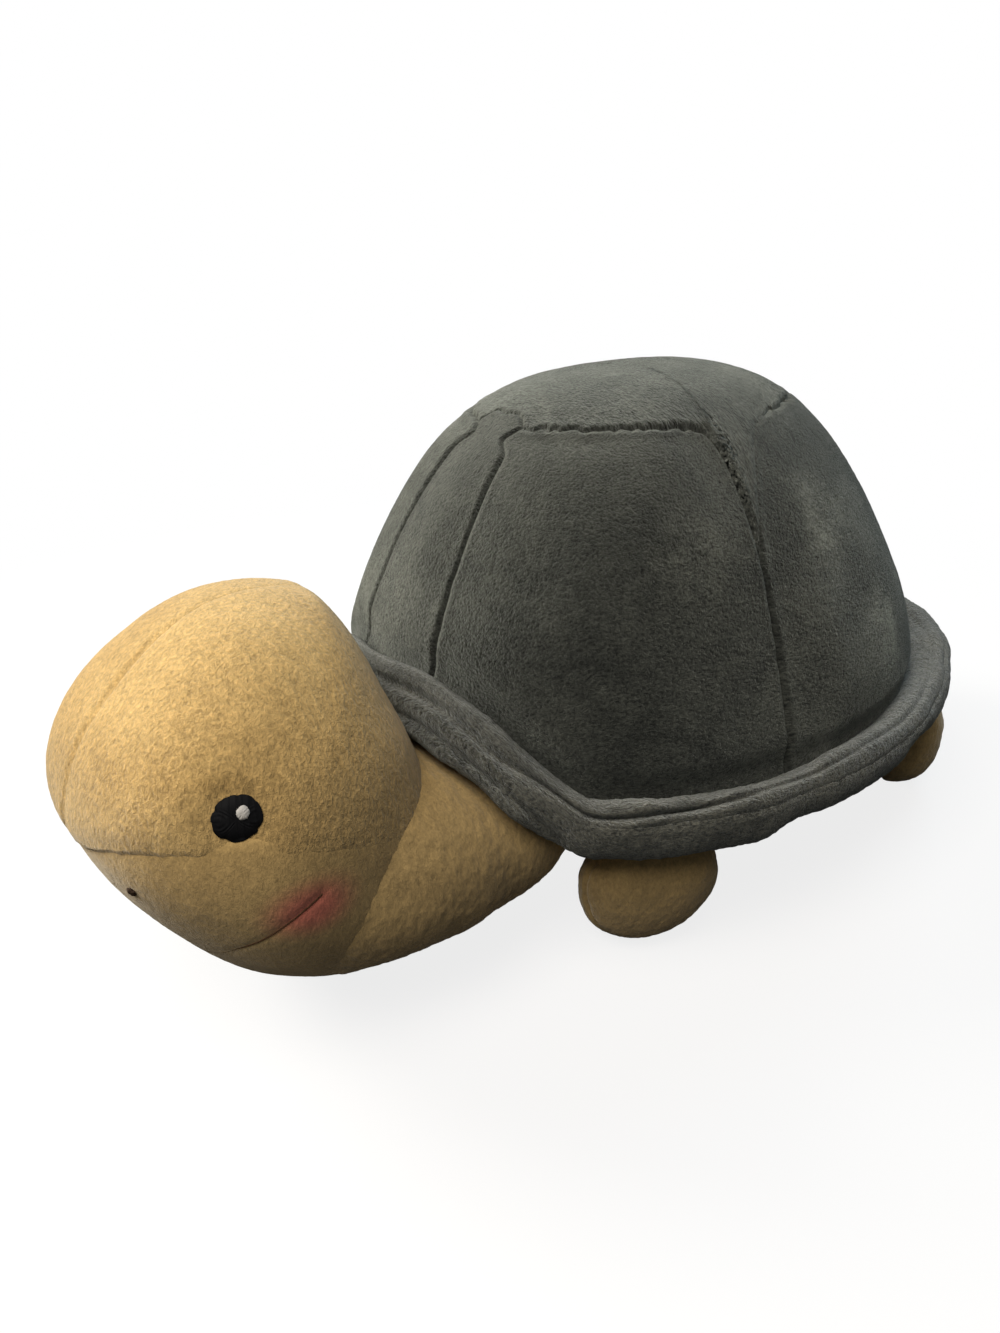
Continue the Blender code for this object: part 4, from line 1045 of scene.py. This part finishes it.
class OBJECT_OT_turtle_face(bpy.types.Operator):
    """Embroider the eyes, their highlights, the nostrils and the smile"""
    bl_idname = "object.turtle_face"
    bl_label = "Face"

    def execute(self, context):
        colours = context.scene.turtle_cloth
        black = satin_material("eye_thread", (0.003, 0.003, 0.0035), roughness=0.6, shine=0.08)
        white = satin_material("highlight_thread", (0.72, 0.70, 0.66), roughness=0.5)
        brown = satin_material("nostril_thread", tuple(colours.thread), roughness=0.7, shine=0.1)
        for name, side in (("left", 1), ("right", -1)):
            normal = Vector((0.86 * side, -0.48, 0.16)).normalized()
            forward = Vector((-0.48 * side, -0.87, 0)).normalized()
            eye = self.stitch_pad("eye_thread_" + name, Vector((EYE_CENTRE.x * side, EYE_CENTRE.y, EYE_CENTRE.z)), normal, forward,
                                  5.6 * MM, 5.2 * MM, 0.9 * MM, 0.27 * MM, 72, 14, 110)
            dress(eye, black, "head", "black_embroidery", "eye_" + name, fill=0)
            spot = Vector((EYE_CENTRE.x * side, EYE_CENTRE.y, EYE_CENTRE.z)) + forward * -1.5 * MM + Vector((0, 0, 1.4 * MM))
            highlight = self.stitch_pad("highlight_thread_" + name, spot, normal, forward,
                                        1.45 * MM, 1.55 * MM, 0.6 * MM, 0.12 * MM, 26, 7, 120, under=("eye_thread_" + name,))
            dress(highlight, white, "head", "white_embroidery", "eye_highlight_" + name, fill=0)
            place = Vector((0.0285 * side, -0.1592, 0.0672))
            nostril = self.stitch_pad("nostril_thread_" + name, place, Vector((0.25 * side, -0.95, -0.15)).normalized(),
                                      Vector((side, 0, 0)), 1.5 * MM, 1.1 * MM, 0.6 * MM, 0.3 * MM, 22, 6, 130)
            dress(nostril, brown, "head", "brown_embroidery", "nostril_" + name, fill=0)
        self.stitch_smile(satin_material("smile_thread", (0.150, 0.080, 0.042), roughness=0.8, shine=0.1))
        return {'FINISHED'}

    def stitch_pad(self, name, centre, normal, forward, half_length, half_height, thickness, ragged, columns, rings, seed,
                   under=("head_left", "head_right", "muzzle")):
        """An oval of satin stitch that follows what is under it: a grid closed to a button, with a ragged edge."""
        targets = [bpy.data.objects[item] for item in under]
        along = (forward - normal * forward.dot(normal)).normalized()
        upward = normal.cross(along).normalized()
        u, v = grid_axes(columns * 2, rings * 2)
        around = 2 * pi * u
        share = np.sin(pi * v)
        front = -np.cos(pi * v)
        edge = 1 + (noise(np.stack([around * 5.2, around * 0, around * 0 + seed], -1), seed) - 0.5) * 2 * ragged / half_height
        edge[:, -1] = edge[:, 0]
        ridges = 0.07 * MM * np.sin(around * 0 + np.cos(around) * share * half_length / (0.42 * MM) * 2 * pi)
        points = np.empty(u.shape + (3,))
        for row in range(u.shape[0]):
            for column in range(u.shape[1]):
                out = share[row, column] * edge[row, column]
                start = centre + along * float(np.cos(around[row, column]) * out * half_length)
                start = start + upward * float(np.sin(around[row, column]) * out * half_height)
                hit = cast([start + normal * 0.02], [-normal], targets)[0]
                ground = hit[0] if hit else start
                lift = float(front[row, column])
                height = thickness * (1 - share[row, column] ** 4) * (1 if lift > 0 else -0.6) + float(ridges[row, column]) * (lift > 0)
                points[row, column] = ground + normal * (height + 0.25 * MM)
        smooth = points.copy()
        nap = np.stack([np.cos(around) * share * half_length, np.sin(around) * share * half_height], -1)
        return sew(name, smooth, nap, outward=lambda spot: centre)

    def stitch_smile(self, material):
        """A twisted thread laid in the smile's groove, a curve with a thick round made into a mesh."""
        targets = [bpy.data.objects[item] for item in ("head_left", "head_right", "muzzle")]
        line = np.array(SMILE_POINTS) * MM
        whole = np.concatenate([line[::-1] * np.array((-1, 1, 1)), line[1:]])
        run = np.concatenate([[0], np.cumsum(np.linalg.norm(np.diff(whole, axis=0), axis=1))])
        places = []
        for step in np.linspace(0, run[-1], 150):
            place = Vector([np.interp(step, run, whole[:, axis]) for axis in range(3)])
            inward = (Vector((0, -0.118, 0.060)) - place).normalized()
            hit = cast([place - inward * 0.03], [inward], targets)[0]
            if hit:
                places.append(hit[0] + hit[1] * 0.02 * MM)
        deselect_all()
        curve = bpy.data.curves.new("smile_thread", 'CURVE')
        curve.dimensions = '3D'
        curve.bevel_depth = 0.20 * MM
        curve.bevel_resolution = 3
        curve.use_fill_caps = True
        spline = curve.splines.new('POLY')
        spline.points.add(len(places) - 1)
        for point, place in zip(spline.points, places):
            point.co = (*place, 1)
            point.radius = 0.15 + 0.85 * float(smooth_step((abs(place.x) - 0.043) / 0.007))
        thread = bpy.data.objects.new("smile_thread", curve)
        bpy.context.scene.collection.objects.link(thread)
        choose(thread)
        bpy.ops.object.convert(target='MESH')
        thread = bpy.context.active_object
        thread.data.uv_layers.new(name="cloth")
        bpy.ops.object.shade_smooth()
        dress(thread, material, "head", "brown_embroidery", fill=0)


# Legs

class OBJECT_OT_turtle_legs(bpy.types.Operator):
    """Sew and stuff the four stub legs"""
    bl_idname = "object.turtle_legs"
    bl_label = "Legs"

    def execute(self, context):
        for number, name in enumerate(LEG_AZIMUTH):
            azimuth, splay = radians(LEG_AZIMUTH[name]), radians(LEG_SPLAY[name])
            root = shell_place(np.array(azimuth), brim_seam_share(np.array(azimuth), np.array(0.0)), 0.0431)
            outward = np.array((sin(splay), -cos(splay), 0))
            along = np.array((cos(splay), sin(splay), 0))
            half_height = (root[2] + 0.0005) / 2
            root = root + along * (0.0035 if "front" in name else 0)
            centre = root - outward * 0.0070
            centre[2] = root[2] - half_height
            u, v = grid_axes(220, 110)
            around = 2 * pi * u
            climb = pi * v
            ball = np.stack([np.sin(climb) * np.cos(around), np.sin(climb) * np.sin(around), -np.cos(climb)], -1)
            length = (np.abs(ball) ** 2.3).sum(-1) ** (1 / 2.3)
            ball = ball / length[..., None]
            thick, stand, taper = (0.0128, -0.0010, 0.0075) if "front" in name else (0.0165, 0.0045, 0.0010)
            down = (1 - ball[..., 2:3]) / 2
            points = centre + outward * (ball[..., :1] * thick + stand - taper * down ** 1.3)
            points = points + along * (ball[..., 1:2] * 0.0225 * (1 - 0.10 * down))
            points[..., 2] += ball[..., 2] * half_height
            points[..., 2] += 4.5 * MM * smooth_step(ball[..., 1] + 0.1) * down[..., 0] * (1 if "front" in name else 0)
            normals = surface_normals(points)
            if (normals * (points - centre)).sum() < 0:
                normals = -normals
            normals[0, :] = (0, 0, -1)
            normals[-1, :] = (0, 0, 1)
            slow = noise(points / (12 * MM), 140 + number) - 0.5
            pile = 0.55 * MM * (fluff(points, 150 + number) - 0.5) + 1.3 * MM * slow
            inside = points - normals * (1.6 * MM + 0.8 * MM * noise(points / (7 * MM), 170 + number))[..., None]
            inside[:, -1] = inside[:, 0]
            coarse = (slice(None, None, 5), slice(None, None, 5))
            filling = sew("stuffing_" + name + "_leg", inside[coarse], np.stack([around * 0.02, climb * 0.02], -1)[coarse], outward=lambda spot: Vector(centre))
            dress(filling, cloth("fibre_fill"), name + "_leg", "polyester_filling", name + "_leg_filling")
            for half, side in (("outer", 1), ("inner", -1)):
                across = ((points - centre) * outward).sum(-1) * side
                seam = np.where(across >= 0, -1.1 * MM * np.exp(-(across / (1.0 * MM)) ** 2), -1.1 * MM - 1.5 * np.abs(across))
                moved = points + normals * (pile + seam)[..., None]
                moved[:, -1] = moved[:, 0]
                moved[..., 2] = np.where(moved[..., 2] < 0.0004, 0.0002, moved[..., 2])
                piece = sew(name + "_leg_" + half, moved, np.stack([around * 0.02, climb * 0.02], -1), keep=across > -0.0016,
                            outward=lambda spot: Vector(centre))
                # The legs lie wholly below the eyes, so their cloth takes the painted shade colour all over.
                dress(piece, cloth("muzzle_cloth"), name + "_leg", "tan_plush", name + "_leg_" + half + "_cover")
        return {'FINISHED'}


# Stuffing

FILLINGS = (("body_filling", "body"), ("brim_wadding", "body"), ("neck_filling", "neck"), ("head_filling", "head"))


class OBJECT_OT_turtle_stuffing(bpy.types.Operator):
    """Make the fibre stuffing and the bean bag from the frame's solids"""
    bl_idname = "object.turtle_stuffing"
    bl_label = "Stuffing"

    def execute(self, context):
        for number, (node, body) in enumerate(FILLINGS):
            piece = self.copy_of(node, "stuffing_" + node.replace("_filling", "").replace("_wadding", ""))
            self.swell(piece, 0.9 * MM, 200 + number)
            dress(piece, cloth("fibre_fill"), body, "polyester_filling", node, bends=body != "body")
        bag = self.copy_of("bean_bag", "beans")
        self.swell(bag, 0.3 * MM, 230)
        dress(bag, cotton_material(), "body", "bean_bag_cloth", "bean_bag", fill=0.7)
        return {'FINISHED'}

    def copy_of(self, node, name):
        """The solid's mesh as a new object, merged and divided once."""
        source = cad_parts[node]
        deselect_all()
        piece = bpy.data.objects.new(name, source.data.copy())
        bpy.context.scene.collection.objects.link(piece)
        piece.data.transform(source.matrix_world)
        choose(piece)
        bpy.ops.object.mode_set(mode='EDIT')
        bpy.ops.mesh.select_all(action='SELECT')
        bpy.ops.mesh.remove_doubles(threshold=0.01 * MM)
        bpy.ops.mesh.tris_convert_to_quads()
        bpy.ops.mesh.subdivide(number_cuts=1)
        bpy.ops.object.mode_set(mode='OBJECT')
        return piece

    def swell(self, piece, depth, seed):
        """Push the surface in unevenly, as stuffing lies in its cloth."""
        mesh = piece.data
        flat = np.empty(len(mesh.vertices) * 3)
        mesh.vertices.foreach_get("co", flat)
        flat = flat.reshape(-1, 3)
        normals = np.empty(len(mesh.vertices) * 3)
        mesh.vertices.foreach_get("normal", normals)
        flat = flat - normals.reshape(-1, 3) * (0.3 * MM + depth * noise(flat / (7 * MM), seed))[:, None]
        mesh.vertices.foreach_set("co", flat.reshape(-1))
        mesh.update()
        choose(piece)
        bpy.ops.object.shade_smooth()


# Stage

class OBJECT_OT_turtle_camera(bpy.types.Operator):
    """Set the camera where the photograph was taken"""
    bl_idname = "object.turtle_camera"
    bl_label = "Camera"

    def execute(self, context):
        azimuth, elevation, roll = radians(53.07), radians(25.03), radians(-2.158)
        back = Vector((sin(azimuth) * cos(elevation), -cos(azimuth) * cos(elevation), sin(elevation)))
        right = Vector((cos(azimuth), sin(azimuth), 0))
        up = back.cross(right)
        turned_right = right * cos(roll) + up * sin(roll)
        turned_up = up * cos(roll) - right * sin(roll)
        deselect_all()
        bpy.ops.object.camera_add(location=(0, 0, 0))
        camera = context.active_object
        camera.name = "camera"
        camera.matrix_world = Matrix((
            (turned_right.x, turned_up.x, back.x, 0.2277),
            (turned_right.y, turned_up.y, back.y, -0.1973),
            (turned_right.z, turned_up.z, back.z, 0.2073),
            (0, 0, 0, 1),
        ))
        camera.data.sensor_fit = 'VERTICAL'
        camera.data.sensor_height = 36
        camera.data.lens = 25.295
        camera.data.clip_start = 0.01
        camera.data.dof.use_dof = False
        context.scene.camera = camera
        return {'FINISHED'}


class OBJECT_OT_turtle_stage(bpy.types.Operator):
    """Lay the pale floor and set the lamps and the world"""
    bl_idname = "object.turtle_stage"
    bl_label = "Stage"

    def execute(self, context):
        scene = context.scene
        settings = scene.turtle_stage
        scene.view_settings.view_transform = 'Standard'
        deselect_all()
        bpy.ops.mesh.primitive_plane_add(size=12, location=(0, 0, 0))
        bpy.ops.object.transform_apply(location=True, rotation=True, scale=True)
        floor = context.active_object
        floor.name = "floor"
        floor.data.materials.append(self.floor_material())
        self.add_lamp("key_lamp", (-1.08, -0.76, 0.86), settings.key, 0.6, (1.0, 0.95, 0.86))
        self.add_lamp("rim_lamp", (-0.30, 1.25, 1.0), settings.rim, 0.7, (0.62, 0.82, 1.0))
        self.add_lamp("fill_lamp", (0.30, -0.72, 1.38), settings.fill, 0.9, (1.0, 0.93, 0.84))
        self.light_world(scene, settings.world)
        return {'FINISHED'}

    def add_lamp(self, name, place, power, size, colour):
        deselect_all()
        bpy.ops.object.light_add(type='AREA', location=place)
        lamp = bpy.context.active_object
        lamp.name = name
        lamp.data.energy = power
        lamp.data.size = size
        lamp.data.color = colour
        aim = Vector((0, -0.02, 0.07)) - Vector(place)
        lamp.rotation_euler = aim.to_track_quat('-Z', 'Y').to_euler()

    def floor_material(self):
        material, tree, shader = new_material("floor_paper")
        shader.inputs["Base Color"].default_value = (0.06, 0.06, 0.06, 1)
        shader.inputs["Roughness"].default_value = 0.9
        shader.inputs["Specular IOR Level"].default_value = 0.1
        seen = tree.nodes.new("ShaderNodeLightPath")
        pale = tree.nodes.new("ShaderNodeEmission")
        pale.inputs["Color"].default_value = (1, 1, 1, 1)
        pale.inputs["Strength"].default_value = 1.0
        paper = tree.nodes.new("ShaderNodeBsdfDiffuse")
        paper.inputs["Color"].default_value = (0.9, 0.9, 0.9, 1)
        lit = tree.nodes.new("ShaderNodeMixShader")
        place = tree.nodes.new("ShaderNodeTexCoord")
        away = tree.nodes.new("ShaderNodeVectorMath")
        away.operation = 'LENGTH'
        link(tree, (place.outputs["Object"], away.inputs[0]))
        fade = math_node(tree, 'MULTIPLY', spread(tree, away.outputs["Value"], 0.22, 0.50), 0.18)
        link(tree, (math_node(tree, 'ADD', fade, 0.82, clamp=True), lit.inputs[0]))
        chosen = tree.nodes.new("ShaderNodeMixShader")
        output = tree.nodes["Material Output"]
        link(tree, (paper.outputs[0], lit.inputs[1]), (pale.outputs[0], lit.inputs[2]),
             (seen.outputs["Is Camera Ray"], chosen.inputs[0]), (shader.outputs[0], chosen.inputs[1]),
             (lit.outputs[0], chosen.inputs[2]), (chosen.outputs[0], output.inputs["Surface"]))
        return material

    def light_world(self, scene, strength):
        world = bpy.data.worlds.new("even_light")
        scene.world = world
        world.use_nodes = True
        tree = world.node_tree
        background = tree.nodes["Background"]
        background.inputs["Color"].default_value = (1, 1, 1, 1)
        seen = tree.nodes.new("ShaderNodeLightPath")
        either = math_node(tree, 'MAXIMUM', seen.outputs["Is Camera Ray"], seen.outputs["Is Glossy Ray"])
        either = math_node(tree, 'MAXIMUM', either, seen.outputs["Is Transmission Ray"])
        level = math_node(tree, 'ADD', math_node(tree, 'MULTIPLY', either, 1 - strength), strength)
        tree.links.new(level, background.inputs["Strength"])


class VIEW3D_PT_turtle(bpy.types.Panel):
    """Sizes, colours and pieces of the plush turtle"""
    bl_label = "Plush turtle"
    bl_idname = "VIEW3D_PT_turtle"
    bl_space_type = 'VIEW_3D'
    bl_region_type = 'UI'
    bl_category = "Turtle"

    def draw(self, context):
        for name in ("turtle_shell", "turtle_brim", "turtle_head", "turtle_cloth", "turtle_stage"):
            settings = getattr(context.scene, name)
            box = self.layout.box()
            for key in settings.bl_rna.properties.keys():
                if key not in ("rna_type", "name"):
                    box.prop(settings, key)
        for operator in OPERATORS:
            self.layout.operator(operator.bl_idname)


SETTINGS = (
    ("turtle_shell", TurtleShellSettings), ("turtle_brim", TurtleBrimSettings), ("turtle_head", TurtleHeadSettings),
    ("turtle_cloth", TurtleClothSettings), ("turtle_stage", TurtleStageSettings),
)
OPERATORS = (
    OBJECT_OT_turtle_camera, OBJECT_OT_turtle_stage, OBJECT_OT_turtle_stuffing, OBJECT_OT_turtle_belly, OBJECT_OT_turtle_shell,
    OBJECT_OT_turtle_brim, OBJECT_OT_turtle_neck, OBJECT_OT_turtle_head, OBJECT_OT_turtle_face, OBJECT_OT_turtle_legs,
)


def register():
    for name, settings in SETTINGS:
        bpy.utils.register_class(settings)
        setattr(bpy.types.Scene, name, PointerProperty(type=settings))
    for item in (*OPERATORS, VIEW3D_PT_turtle):
        bpy.utils.register_class(item)


def unregister():
    for item in reversed((*OPERATORS, VIEW3D_PT_turtle)):
        bpy.utils.unregister_class(item)
    for name, settings in reversed(SETTINGS):
        delattr(bpy.types.Scene, name)
        bpy.utils.unregister_class(settings)


def main():
    register()
    for step in ("turtle_camera", "turtle_stage", "turtle_stuffing", "turtle_belly", "turtle_shell", "turtle_brim", "turtle_neck",
                 "turtle_head", "turtle_face", "turtle_legs"):
        getattr(bpy.ops.object, step)()
    deselect_all()


if __name__ == "__main__":
    main()
